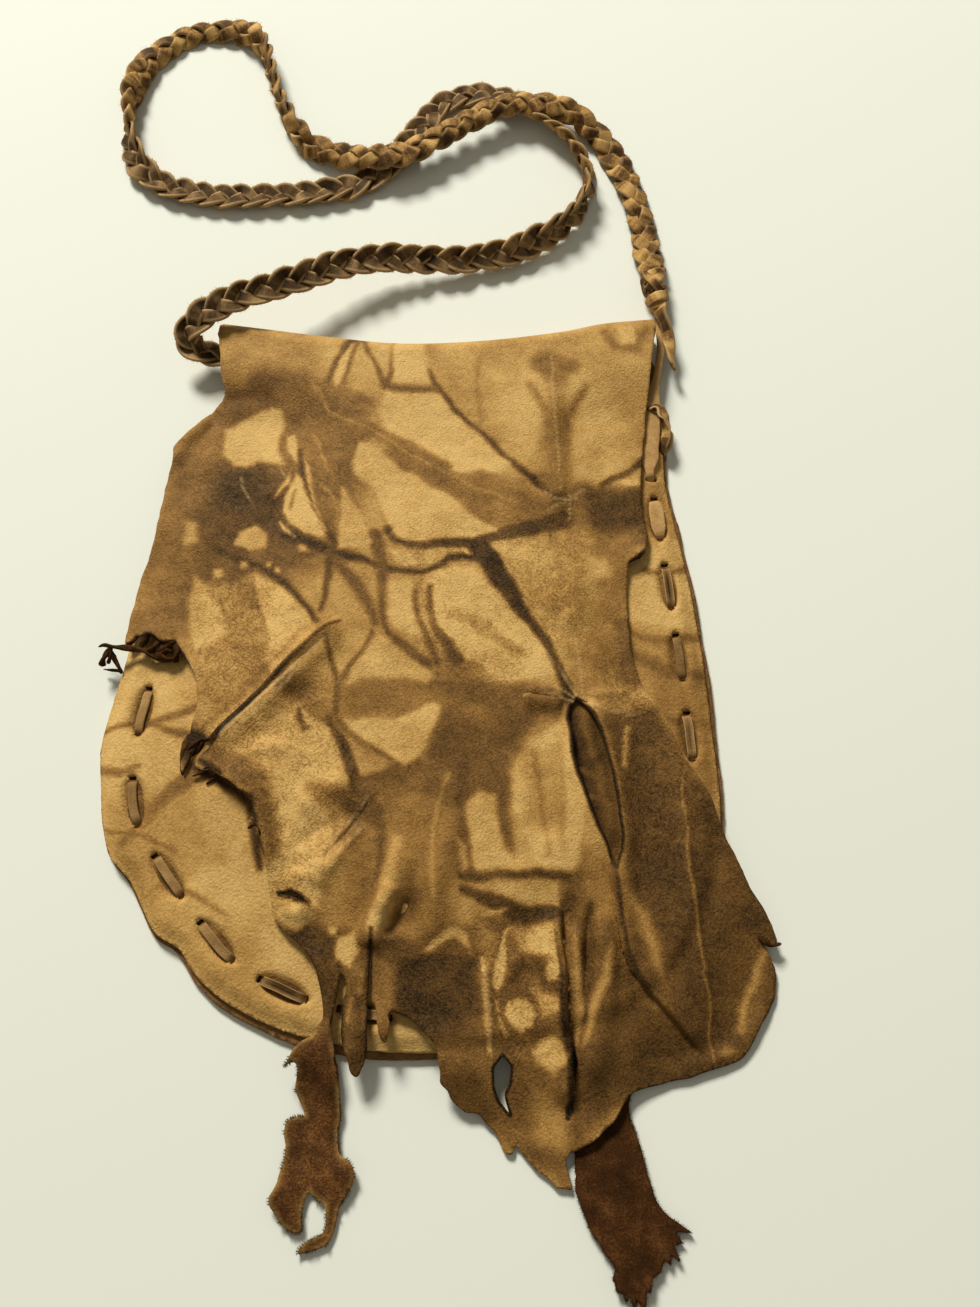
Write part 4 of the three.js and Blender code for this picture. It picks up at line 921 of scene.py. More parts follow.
# Late marks over the islands: depth, softness, half widths, places. The ones noted inside are
# painted highlights on ridge crests and painted shade in valleys and creases.
FLAP_MARKS = [
    (0.50, 0.9, (0.8, 0.8), [(-51, 100), (-52, 92)]),
    (0.86, 1.0, (4.2, 3.6, 2.0, 1.7, 2.2), [(20, 76), (24, 70), (27, 64), (31, 57), (35, 50), (39, 45),
        (43, 40), (46, 34), (49, 28), (51, 22), (52, 17)]),
    (0.28, 1.6, (2, 3, 1.5), [(10, 48), (18, 46), (28, 38), (36, 33)]),
    (0.60, 0.9, (0.8, 1.0, 1.2), [(-4, 58), (-3, 52), (-1, 46), (1, 40), (3, 34), (5, 29)]),
    (0.62, 1.0, (0.8, 1.4, 2.6), [(1.5, 60), (1.5, 55), (2.5, 49), (4, 44), (6, 40), (9, 35), (12, 31)]),
    (0.50, 2.2, (2, 3, 3.5), [(-30, 130), (-20, 124), (-8, 117), (6, 109)]),
    # Painted highlights along the crests of fine creases, in this and the next two marks
    (0.28, 0.6, (0.3, 0.4, 0.3), [(-47, 147), (-43.6, 143), (-38.7, 134.4), (-29.6, 129.3), (-20.5, 124.2),
        (-8.5, 115.9), (6.4, 107.6), (21, 99.4), (35.5, 94.6)]),
    (0.26, 0.8, (0.5, 0.5), [(-45, 126), (-42, 120), (-39, 110), (-35, 105)]),
    (0.26, 0.8, (0.5, 0.5), [(-40, 102), (-36, 98), (-34, 92), (-34, 84)]),
    (0.22, 1.0, (0.4, 0.6), [(9, -12), (6, -22), (4, -32), (5, -55)]),
    (0.14, 0.7, (0.4, 0.5), [(26, -88), (27, -95), (29, -100)]),
    # Painted highlight along a ridge crest
    (0.14, 0.7, (0.4, 0.5), [(22, -74), (22.6, -86), (23, -95), (24, -105)]),
    # Painted highlights along the crest of the hanging strip's ridge, in this and the next mark
    (0.30, 0.8, (0.6, 0.8), [(-19, -80), (-20, -86)]),
    (0.30, 0.8, (0.6, 0.8), [(-22, -88), (-23, -95)]),
    (0.34, 1.8, (1.0, 1.4), [(118, -71), (113, -84), (108, -97)]),
    # Painted highlight along the low ridge of the lobe line
    (0.36, 0.6, (0.25, 0.45, 0.3), LOBE_LINE),
    (0.28, 1.2, (1.0, 1.0), [(72, -8), (72.6, 6)]),
    (0.22, 1.4, (0.8, 0.8), [(40, -4), (42, -24), (44, -40)]),
    (0.18, 1.4, (0.8, 0.8), [(48, 2), (50, -18), (49, -40)]),
    (0.34, 1.2, (1, 1.4, 0.8), [(-37, -20), (-32, -25), (-29, -31)]),
    # Painted shade in the cone's valley; the next two marks are painted highlights on the ridges beside it
    (0.84, 1.8, (1.2, 2.4, 1.2), [(58.2, -57), (57.2, -68.8), (55.9, -80.3), (55.2, -94)]),
    (0.26, 1.1, (0.4, 1.3, 1.5, 0.6), [(52.6, -68), (53.8, -78), (53.6, -90), (52.8, -102)]),
    (0.26, 1.2, (0.4, 1.6, 1.6, 0.6), [(65, -70), (62.2, -81), (58.5, -91.7), (54.9, -103)]),
    (0.44, 2.2, (1.0, 2.6, 1.4), [(69.5, -50), (75.2, -59), (79, -70), (81, -80)]),
    (0.62, 2.5, (2.5, 3.5, 4, 3.5, 2.5), [(-84, 6), (-76, -3.4), (-66, -9), (-58, -15), (-53, -26),
        (-51, -38)]),
    (0.58, 2.5, (2, 3.5, 2.5), [(-39, -17), (-30, -20), (-20, -25)]),
    # Painted highlight along a ridge crest
    (0.20, 2.2, (1, 1.8, 2.2, 1.2), [(-7.5, -35.2), (-9.7, -43.5), (-12.9, -53.9), (-15.4, -66.5)]),
    # Painted shade in a crease
    (0.56, 1.2, (0.6, 0.9, 0.6), [(-78, 141.3), (-66, 140.4), (-54, 139.2)]),
]
# Painted shade: dark lines deep inside folds and laps: half widths, places
FLAP_CREASE_SHADE = [
    ((0.15, 0.3, 0.5, 0.8, 1.2, 1.7), [(-31, 45.6), (-38.4, 40), (-48.5, 29.5), (-58.5, 17.6), (-69.4, 6.6),
        (-78, -2)]),
    ((0.3, 0.5, 0.4, 0.3), [(66.8, -40), (67.9, -50), (68.9, -62), (70.4, -72), (73.2, -79), (77, -84)]),
    ((0.1, 0.35, 0.3, 0.1), [(-34.1, -41.6), (-26.5, -32.9), (-17.5, -20.5), (-14.7, -18.7)]),
    ((0.1, 0.3, 0.8, 0.9), [(46, -66), (48, -80), (48, -94), (50, -104)]),
    ((0.6, 0.8), [(50.4, -108), (50.2, -118)]),
    ((0.4, 0.9, 0.7, 0.5), [(-16, -65), (-16.6, -72), (-16.6, -90), (-17, -106)]),
    ((0.4, 0.9, 0.9, 0.5), [(-27, -76), (-26, -84), (-25.2, -96), (-24.4, -106)]),
    ((0.9, 1.3, 0.9), [(-79, -6), (-75, -8.6), (-70, -12)]),
    ((0.9, 1.1, 0.8, 0.9), [(-59, -20), (-58, -26), (-56.4, -32), (-54.6, -40)]),
]
# Thin bright lines along fold crests, partly cracked grain and partly painted highlight: half widths, places
FLAP_CRACKS_AND_HIGHLIGHTS = [
    ((0.35, 0.2), [(58, 15), (66, 13), (76, 10.6)]),
    ((0.3, 0.2), [(58, 17), (68, 17.6), (76, 19)]),
    ((0.4, 0.2), [(54, 15.4), (46, 17), (36, 17.4)]),
    ((0.3, 0.2), [(54, 17), (46, 21), (38, 26)]),
    ((0.3, 0.2), [(55, 18), (50, 26), (44, 34)]),
    ((0.25, 0.2), [(57, 19), (57, 30), (55, 42)]),
    ((0.7, 0.5), [(-71, 2.6), (-62.6, 11), (-53.6, 20), (-44.8, 29.4), (-36, 38.2)]),
    ((0.4, 0.3), [(-68, 2), (-60, 10), (-51, 19), (-43, 28)]),
    ((0.3, 0.2), [(-38, -46), (-30, -36), (-24, -27), (-19, -20)]),
    ((0.25, 0.2), [(-34, -48), (-26, -38), (-20, -30)]),
    ((0.3, 0.2), [(23, -78), (23.4, -90), (24.4, -106)]),
    ((0.3, 0.2), [(-56, 87), (-54, 83), (-50, 80.6)]),
    ((0.3, 0.2), [(48, 160), (49, 140), (50, 118), (50, 100)]),
    ((0.25, 0.2), [(44, 100), (50, 96), (57, 97)]),
    ((0.25, 0.2), [(52, 103), (54, 96), (54, 88)]),
    ((0.25, 0.2), [(46, 92), (52, 95), (60, 102)]),
    ((0.3, 0.2), [(-60, 120), (-56, 108), (-52, 100)]),
    ((0.3, 0.2), [(-72, 106), (-68, 98), (-66, 94)]),
]
# Places with strongly pebbled or wrinkled grain: amount, softness, places
COARSE_PLACES = [
    (1.0, 8, [(-80, 6), (-66, 14), (-50, 22), (-38, 22), (-30, 0), (-26, -30), (-36, -58), (-54, -52),
        (-56, -24)]),
    (1.0, 6, [(-84, 62), (-60, 66), (-44, 44), (-56, 24), (-80, 14), (-84, 34)]),
    (0.9, 6, [(64, 30), (80, 30), (90, 0), (100, -30), (76, -40), (68, -20)]),
    (0.9, 5, [(20, -62), (50, -60), (50, -104), (28, -110), (20, -84)]),
    (0.8, 6, [(-10, 84), (60, 84), (60, 40), (30, 20), (0, 30)]),
]


def paint_flap(x, y):
    """Dye depth with painted shade in folds and round holes, and bright lines of cracked grain and painted
    highlight, at each place of the flap.
    """
    px, py = bend_places(x, y, 40)
    tone = 0.25 + 0.12 * soft_noise(x, y, 30, 50)
    paint_areas(tone, px, py, FLAP_WASHES)
    paint_lines(tone, px, py, FLAP_STREAKS)
    paint_areas(tone, px, py, FLAP_ISLANDS)
    paint_lines(tone, px, py, FLAP_MARKS)
    for amount, soft, places in FLAP_TONING:
        share = np.zeros_like(x)
        paint_area(share, px, py, 1.0, soft, places)
        tone = tone + amount * share
    cloudy = 0.10 * soft_noise(x, y, 15, 51, 4) + 0.07 * soft_noise(x + 0.6 * y, 2.2 * y, 7, 52, 4)
    tone = tone + cloudy * (0.6 + 0.8 * tone)
    # Painted shade: a dark line round the rim of each slit, hole and tear
    for places in (LONG_SLIT, SMALL_HOLE, CONE_GAP, LOW_GAP, SHORT_TEAR):
        away, _, _ = line_distance(x, y, [*places, places[0]])
        tone = np.maximum(tone, 1.05 * (1 - smoothstep(0.5, 1.6, away)))
    # Painted shade deep inside the folds and laps
    for widths, places in FLAP_CREASE_SHADE:
        paint_line(tone, x, y, 1.0, 0.8, widths, places)
    # Bright lines along fold crests: cracked grain together with painted highlight
    crack_and_highlight = np.zeros_like(x)
    for widths, places in FLAP_CRACKS_AND_HIGHLIGHTS:
        paint_line(crack_and_highlight, px, py, 1.0, 0.45, widths, places)
    return tone, crack_and_highlight


print("areas", len(FLAP_WASHES) + len(FLAP_ISLANDS), "streaks", len(FLAP_STREAKS) + len(FLAP_MARKS))

# %% [markdown]
# The lace goes through slits in both panels. They lie at the ends of each stitch along a seam
# that runs inside the laced edge, so the seam is worked out before the panels are cut.

# %% Seam and slits
STITCH_MIDDLES = [
    23, 53, 83, 112.5, 146.5, 177, 206, 235, 264, 294, 324, 354, 385, 417, 450, 480.5, 509, 537.5,
]
STITCH_LENGTH = 18
LEAD_IN = [(86.6, 112), (87, 128), (88.4, 142), (91.6, 156), (93.6, 170), (93.6, 186.7)]


def seam_line():
    """The seam as evenly spaced places, from its upper left end to the strap's knot."""
    edge = curve_through(BODY_EDGE, 81)[1::3]
    along = np.gradient(edge, axis=0)
    along /= np.linalg.norm(along, axis=1, keepdims=True)
    inset = mix(12.0, 8.6, smoothstep(0.4, 0.6, np.linspace(0, 1, len(edge))))[:, None]
    line = edge + inset * np.stack([-along[:, 1], along[:, 0]], axis=1)
    return curve_through([*map(tuple, line[:-3]), *LEAD_IN], 1300)


seam = seam_line()
seam_walked = np.concatenate([[0], np.cumsum(np.hypot(*np.diff(seam, axis=0).T))])


def seam_at(distance):
    """Place on the seam and the direction along it."""
    here = np.array([np.interp(distance, seam_walked, column) for column in seam.T]).T
    ahead = np.array([np.interp(distance + 1, seam_walked, column) for column in seam.T]).T
    behind = np.array([np.interp(distance - 1, seam_walked, column) for column in seam.T]).T
    way = ahead - behind
    return here, way / np.linalg.norm(way, axis=-1, keepdims=True)


stitch_ends = [(middle - STITCH_LENGTH / 2, middle + STITCH_LENGTH / 2) for middle in STITCH_MIDDLES]
slit_places = [end for pair in stitch_ends for end in pair][1:] + [stitch_ends[-1][1] + 8]


def slit_hole(distance, half_long, half_wide):
    """A small oval hole across the seam."""
    here, way = seam_at(distance)
    angles = np.linspace(0, 2 * math.pi, 16, endpoint=False)
    side = np.array([-way[1], way[0]])
    return here + np.outer(np.cos(angles) * half_long, way) + np.outer(np.sin(angles) * half_wide, side)


print("seam length, mm:", round(seam_walked[-1]), "slits:", len(slit_places))

# %% [markdown]
# Now the hide is cut. On the flat leather the back panel lies beyond the fold, so its outline is
# mirrored there, and the height map rolls it under again. That way the flap, the fold and the
# back really are one piece of leather.

# %% Cut and drape the hide
FOLD_ROLL = math.pi * FOLD_RADIUS
FINE_STEP = 1.1
COARSE_STEP = 3.5


def flat_back(points):
    """Places on the back panel, moved to where they lie on the flat hide."""
    p = np.asarray(points, float)
    return np.stack([p[:, 0], 2 * fold_y(p[:, 0]) + FOLD_ROLL - p[:, 1]], axis=1)


edge = np.array(edge_line)
edge_way = np.gradient(edge, axis=0)
edge_way /= np.linalg.norm(edge_way, axis=1, keepdims=True)
outward = np.stack([edge_way[:, 1], -edge_way[:, 0]], axis=1)
share = np.linspace(0, 1, len(edge))
margin = 0.5 + 2.7 * np.exp(-((share - 0.45) / 0.09) ** 2) + 1.2 * smoothstep(0.6, 0.75, share)
margin = margin + (0.4 + 0.5 * smoothstep(0.6, 0.75, share)) * soft_noise(edge[:, 0], edge[:, 1], 11, 60)
back_edge = edge + outward * margin[:, None]
back_left = [(-84.4, fold_y(-84.4) - 1), (-83, 164), (-82, 152), (-84, 143)]
back_right = [(93, 140), (90.6, 147), (93, 157), (89.8, 165), (90, fold_y(90) - 1)]
back_outline = [*back_left, *map(tuple, back_edge), *back_right]

flap_line = torn_line(flap_edge, 0.9, 71, closed=False)
back_line = torn_line(list(map(tuple, flat_back(back_outline[::-1]))), 1.4, 72, rough=0.1, closed=False)
hide_outline = np.vstack([flap_line, back_line])
hide_loops = [hide_outline]
for hole, seed in [(LONG_SLIT, 73), (SMALL_HOLE, 74), (CONE_GAP, 75), (LOW_GAP, 76), (SHORT_TEAR, 77)]:
    hide_loops.append(torn_line(hole, 0.7, seed, rough=0.06))
for place in slit_places:
    hide_loops.append(flat_back(slit_hole(place, 1.3, 2.8)))

flat_low, flat_high = hide_outline.min(axis=0), hide_outline.max(axis=0)
limit = fold_y(0.0) + FOLD_ROLL + 12
fine = hex_points(flat_low, (flat_high[0], limit), FINE_STEP)
fold_lines = [places for _, _, _, places in FLAP_FOLDS]
fold_lines += [[*LONG_SLIT, LONG_SLIT[0]], [*SMALL_HOLE, SMALL_HOLE[0]], LOBE_LINE]
extra = hex_points(flat_low, (flat_high[0], limit), FINE_STEP / 2)
fine = np.vstack([fine[~close_to_lines(fine, fold_lines, 3.5)], extra[close_to_lines(extra, fold_lines, 3.2)],
                  hex_points((flat_low[0], limit), flat_high, COARSE_STEP)])
coarse = hex_points(flat_low, flat_high, COARSE_STEP)
hide, hide_flat, hide_top = leather_sheet(
    "hide_sheet", hide_loops, fine, coarse, FINE_STEP * 0.7, hide_place, HIDE_THICK)
hide_x, hide_v = hide_flat.T
on_back = smoothstep(0, 10, hide_v - fold_y(hide_x) - 0.6 * FOLD_ROLL)
# The hide's 'dye' number holds the dye together with the painted shade and highlights from paint_flap
tone, crack_and_highlight = paint_flap(hide_x, np.minimum(hide_v, fold_y(hide_x) + 6))
tone = mix(tone, 0.12 + 0.12 * soft_noise(hide_x, hide_v, 40, 80), on_back)
store(hide, "dye", tone)
store(hide, "crack_and_highlight", crack_and_highlight * (1 - on_back))
suede = np.zeros(len(hide_x))
paint_area(suede, hide_x, hide_v, 1.0, 2.0, SUEDE_STRIP)
paint_area(suede, hide_x, hide_v, 0.0, 4.0, [(-50, -60), (-20, -60), (-20, -98), (-46, -98)], 0.9)
store(hide, "suede", suede)
coarse_grain = 0.25 + 0.45 * smoothstep(0.3, 0.8, tone)
paint_areas(coarse_grain, hide_x, hide_v, COARSE_PLACES)
store(hide, "coarse", coarse_grain)

# %% [markdown]
# The front panel is a separate, paler piece. Its rim is puffed up between the stitches, and each
# stitch presses a groove into it. The dye only reached it in a few thin stripes.

# %% Front panel
MOUTH = [(60, 131.5), (20, 133.5), (-20, 134.5), (-60, 135)]
PANEL_THICK = 1.4
STITCH_DEPTH = 1.3
stitch_lines = [[tuple(seam_at(start)[0]), tuple(seam_at(end)[0])] for start, end in stitch_ends]


def stitch_half(share, curl):
    """Half the width of a stitch: rounded ends where it is flat, pointed where it is curled."""
    rest = np.clip(1 - np.abs(2 * share - 1) ** mix(2.8, 2.0, curl), 0, 1)
    return 0.4 + 2.5 * rest ** mix(0.6, 0.75, curl)


def stitch_dip(x, y):
    """How much the stitches press the leather down, from 0 to 1."""
    dip = np.zeros_like(x)
    for stitch in stitch_lines:
        away, share, _ = line_distance(x, y, stitch)
        dip = np.maximum(dip, 1 - smoothstep(-0.1, 2.2, away - stitch_half(share, 0.3)))
    return dip


def panel_place(x, y):
    distance = edge_distance(x, y)
    puff = 0.7 * smoothstep(0, 6, distance) * (1 - smoothstep(20, 40, distance))
    ripple = 0.5 * soft_noise(x, y, 17, 90) * (1 - smoothstep(0, 26, distance))
    z = panel_height(x, y, distance) + puff + ripple - STITCH_DEPTH * stitch_dip(x, y) * (puff + 0.3)
    return np.stack([x, y, z], axis=1)


PANEL_WASHES = [
    (0.34, 6, [(62, 50), (100, 44), (104, 22), (66, 24)]),
    (0.40, 5, [(80, 34), (106, 30), (106, -30), (86, -30)]),
    (0.26, 5, [(-112, -22), (-84, -14), (-70, -40), (-96, -60)]),
    (0.22, 6, [(-90, -64), (-60, -60), (-40, -96), (-76, -84)]),
    (0.30, 4, [(80, 110), (92, 108), (96, 84), (82, 80)]),
]
PANEL_STREAKS = [
    # Under the long slit: partly the panel's brown, partly painted shade
    (0.62, 6, (12, 13, 12), [(58, 20), (62, -12), (68, -46)]),
    (0.52, 1.0, (0.9, 1.2, 1.8), [(-118, 6), (-108, 8.4), (-99, 9), (-90, 12), (-80, 15)]),
    (0.52, 1.0, (0.8, 1.6, 2.2), [(-99, 9), (-92, 6), (-84, 4), (-76, 6)]),
    (0.46, 1.2, (1.6, 2.4, 4), [(-104, -34), (-94, -22), (-84, -12), (-76, -4)]),
    (0.40, 1.0, (2, 1.2), [(-117, -8), (-108, -9), (-102, -7)]),
    (0.46, 0.9, (0.6, 0.9), [(-112, -30), (-98, -32), (-86, -38)]),
    (0.42, 1.0, (0.8, 1.2, 0.8), [(-92, -50), (-80, -52), (-66, -60)]),
    (0.50, 1.2, (1, 2, 1.4), [(76, 44), (86, 41), (100, 42)]),
    (0.56, 1.4, (2, 3, 2), [(78, 34), (90, 29), (104, 27)]),
    (0.50, 1.2, (1.4, 2), [(84, 12), (94, 8), (106, 9)]),
    (0.46, 1.0, (1, 1.4), [(82, 70), (90, 68), (98, 71)]),
]
# What shows of the panel inside the long slit: the dark inside is partly the panel's brown and partly
# painted shade, the darkest line along the left rim is painted shade, and the paler lines are painted
# highlights. Depth, softness, half widths, places
SLIT_SHADE_AND_HIGHLIGHTS = [
    (0.80, 2.0, (3.5, 4.5, 3.0), [(57, 14), (60, 0), (62, -14), (66, -34)]),
    (1.00, 1.6, (1.0, 1.4, 1.2), [(53, 14), (53.6, 0), (56.4, -14), (62.6, -34)]),
    (0.44, 2.0, (1.6, 1.0), [(57.4, 13), (58.6, 4), (60, -4)]),
    (0.50, 1.2, (0.6, 0.9), [(56, -10), (60, -11), (65, -13)]),
    (0.50, 1.2, (0.5, 0.7), [(59, -19), (63, -21), (67, -22)]),
    (0.56, 1.6, (1.5, 1.0), [(62, -8), (64.6, -20), (66, -30)]),
]
# Shadows under the flap's torn left edge
EDGE_SHADOWS = [
    [(-82, -7), (-77, -10.4), (-71, -13.6), (-64, -18), (-60, -22)], [(-60, -24), (-58, -32), (-55.6, -44)],
]


def paint_panel(x, y):
    """Dye depth at each place of the front panel, with painted shade round the stitches, under the flap's
    edge and in the slit, and painted highlights in the slit.
    """
    px, py = bend_places(x, y, 140)
    tone = 0.10 + 0.08 * soft_noise(x, y, 22, 150)
    paint_areas(tone, px, py, PANEL_WASHES)
    paint_lines(tone, px, py, PANEL_STREAKS)
    paint_lines(tone, px, py, SLIT_SHADE_AND_HIGHLIGHTS)
    for places in EDGE_SHADOWS:
        paint_line(tone, x, y, 0.95, 1.4, (1.0, 1.6, 1.0), places)
    cloudy = 0.05 * soft_noise(x, y, 12, 151, 4) + 0.04 * soft_noise(x, 2 * y, 5, 152, 3)
    tone = tone + cloudy * (0.7 + tone)
    # Painted shade: a dark outline round each stitch and a faint darkening beside it
    for stitch in stitch_lines:
        away, share, _ = line_distance(x, y, stitch)
        beside = away - stitch_half(share, 0.3) - 0.1
        shadow_side = 0.62 + 0.24 * soft_noise(x, y, 6, 153, 2)
        tone = np.maximum(tone, shadow_side * (1 - smoothstep(0.0, 0.8, beside)))
        tone = np.maximum(tone, 0.16 * (1 - smoothstep(1, 4, beside)))
    return tone


panel_loops = [torn_line([*edge_line, *MOUTH], 1.0, 161, rough=0.12)]
for index, (start, end) in enumerate(stitch_ends):
    left_side = index < 9
    if index:
        panel_loops.append(slit_hole(start - 0.2 * left_side, 0.9 if left_side else 0.6, 1.7))
    panel_loops.append(slit_hole(end + 0.2 * (not left_side), 0.6 if left_side else 0.9, 1.7))
panel_loops.append(slit_hole(slit_places[-1], 1.2, 2.3))
low, high = panel_loops[0].min(axis=0), panel_loops[0].max(axis=0)
panel_step = 1.4
fine, extra = hex_points(low, high, panel_step), hex_points(low, high, panel_step / 2)
fine = fine[~close_to_lines(fine, stitch_lines, 5.6)]
fine = np.vstack([fine, extra[close_to_lines(extra, stitch_lines, 5.2)]])
coarse = hex_points(low, high, COARSE_STEP)
panel, panel_flat, panel_top = leather_sheet(
    "front_sheet", panel_loops, fine, coarse, panel_step / 2, panel_place, PANEL_THICK)
# The panel's 'dye' number holds the dye together with the painted shade and highlights from paint_panel
store(panel, "dye", paint_panel(*panel_flat.T))
store(panel, "crack_and_highlight", np.zeros(len(panel_flat)))
store(panel, "suede", np.zeros(len(panel_flat)))
store(panel, "coarse", np.full(len(panel_flat), 0.15))

# %% [markdown]
# The lace is one flat suede thong. Over each stitch it lies on the front panel, and between two
# stitches it runs under the back. Past the last stitch it comes up as a wider band and runs to
# the knot of the strap.

# %% Lace
OVER_Z = 4.75
UNDER_Z = 0.9
BAND_Z = 6.0
KNOT_Z = 3.0
BAND_HALF_WIDTH = 4.2
WAIST_HALF_WIDTH = 1.6
LACE_HALF_THICK = 0.62
LACE_SIDES = 16
# How far each stitch is curled up along its edges, from 0 for flat to 1
STITCH_CURL = [0.2, 0.3, 0.2, 0.05, 0.15, 0.3, 0.4, 1.0, 0.5, 0.3, 0.3, 0.3, 0.4, 0.3, 0.8, 0.1, 1.0, 0.2]
# How pale the thong is along the seam: distance, and 0 for brown to 1 for tan
LACE_PALE = [
    (0, 0.3), (100, 0.5), (123, 0.35), (135, 0.1), (157, 0.2), (170, 0.3), (225, 0.2), (245, 0.3),
    (440, 0.5), (460, 0.4), (470, 0.0), (492, 0.0), (500, 0.4), (520, 0.5), (528, 0.9), (560, 0.9),
    (620, 0.6),
]
lace_at = np.arange(stitch_ends[0][0] + 0.5, seam_walked[-1], 0.9)
lace_z = np.full(len(lace_at), UNDER_Z)
lace_half = np.full(len(lace_at), WAIST_HALF_WIDTH)
lace_cup = np.zeros(len(lace_at))
for (start, end), curl in zip(stitch_ends, STITCH_CURL):
    over = smoothstep(start - 1.2, start + 2.6, lace_at) * (1 - smoothstep(end - 2.6, end + 1.2, lace_at))
    hump = 0.55 * np.sin(np.clip((lace_at - start) / (end - start), 0, 1) * math.pi)
    lace_z = mix(lace_z, OVER_Z + hump, over)
    near = (lace_at > start - 1) & (lace_at < end + 1)
    share = (lace_at - start + 0.5) / (end - start + 1)
    ragged = 1 + 0.14 * soft_noise(lace_at, 0 * lace_at, 5, 154, 2)
    lace_half = np.where(near, stitch_half(share, curl) * ragged, np.minimum(lace_half, WAIST_HALF_WIDTH))
    lace_cup = mix(lace_cup, 1.5 * curl, over * np.sin(np.clip(share, 0, 1) * math.pi) ** 0.5)
band_start = slit_places[-1]
band = smoothstep(band_start - 1.2, band_start + 1.6, lace_at)
lace_z = mix(lace_z, BAND_Z, band)
lace_z = mix(lace_z, KNOT_Z, smoothstep(band_start + 55, seam_walked[-1] - 8, lace_at))
wide = smoothstep(band_start + 2, band_start + 10, lace_at)
wide = wide * (1 - smoothstep(band_start + 30, band_start + 46, lace_at))
lace_half = mix(lace_half, BAND_HALF_WIDTH, wide)
lace_places, lace_way = seam_at(lace_at)
rows = np.column_stack([lace_places, lace_z])
wander = 0.35 * soft_noise(lace_at, 0 * lace_at, 9, 155, 2)
rows[:, :2] += np.stack([-lace_way[:, 1], lace_way[:, 0]], axis=1) * wander[:, None]
facing_up = np.tile([0.0, 0.0, 1.0], (len(rows), 1))
lace = ribbon("lace_thong", rows, facing_up, lace_half, LACE_HALF_THICK, LACE_SIDES, lace_cup)
lace_pale = np.interp(lace_at, *np.array(LACE_PALE).T)
store(lace, "pale", np.repeat(lace_pale, LACE_SIDES))
print("lace:", round(float(lace_at[-1] - lace_at[0])), "mm along the seam")

# %% [markdown]
# A strip of dark suede hangs out from under the cone-shaped fold at the bottom right. It is a
# sheet of its own here, because on the real pouch it comes from behind the flap.

# %% Tail strip
TAIL_STRIP = [
    (66, -108), (52, -126), (51.6, -147.2), (53.3, -151.9), (55.5, -158), (59.8, -164.9), (63.7, -170.1),
    (62.6, -172.7), (63.9, -174.6), (63.4, -176.8), (65.6, -177), (66.8, -180), (68, -177.6), (69.4, -182),
    (70.6, -178.6), (71.6, -182.2), (73, -180.4), (73.2, -176), (74.6, -177.4), (75.2, -173.4),
    (78, -171.6), (79.6, -167.6), (81.4, -169.4), (81.6, -166), (84.6, -168.5), (82.6, -163.4),
    (85.8, -163), (83.2, -159.6), (88.9, -159.8), (84, -156.6), (79.6, -153.2), (76.9, -149),
    (73.3, -134.2), (69.8, -122.9), (72, -112),
]


def tail_place(x, y):
    """The strip lies on the table, with a soft fold along it and curled tips."""
    along = smoothstep(-118, -182, y)
    ridge = 1.5 * np.exp(-((x - 62 - 10 * along) / 5) ** 2) * (1 - 0.5 * along)
    tips = 2.2 * smoothstep(-164, -180, y) * np.abs(soft_noise(x, y, 7, 190, 2))
    free = smoothstep(-126, -142, y)
    z = 0.65 + free * (0.25 + ridge + tips + 0.5 * (1 + soft_noise(x, y, 12, 191, 2)))
    return np.stack([x, y, z], axis=1)


tail_loops = [torn_line(TAIL_STRIP, 0.7, 192, rough=0.2)]
low, high = tail_loops[0].min(axis=0), tail_loops[0].max(axis=0)
tail_strip, _, _ = leather_sheet(
    "tail_strip", tail_loops, hex_points(low, high, 0.9), hex_points(low, high, 2.0), 0.9, tail_place, 1.1)
print("tail strip:", len(tail_strip.data.polygons), "faces")

# %% [markdown]
# Where corners were torn off, the leather has twisted into thin dark tendrils and shreds. Each
# is a short tapered ribbon that curls as it goes, and they are joined into one piece.

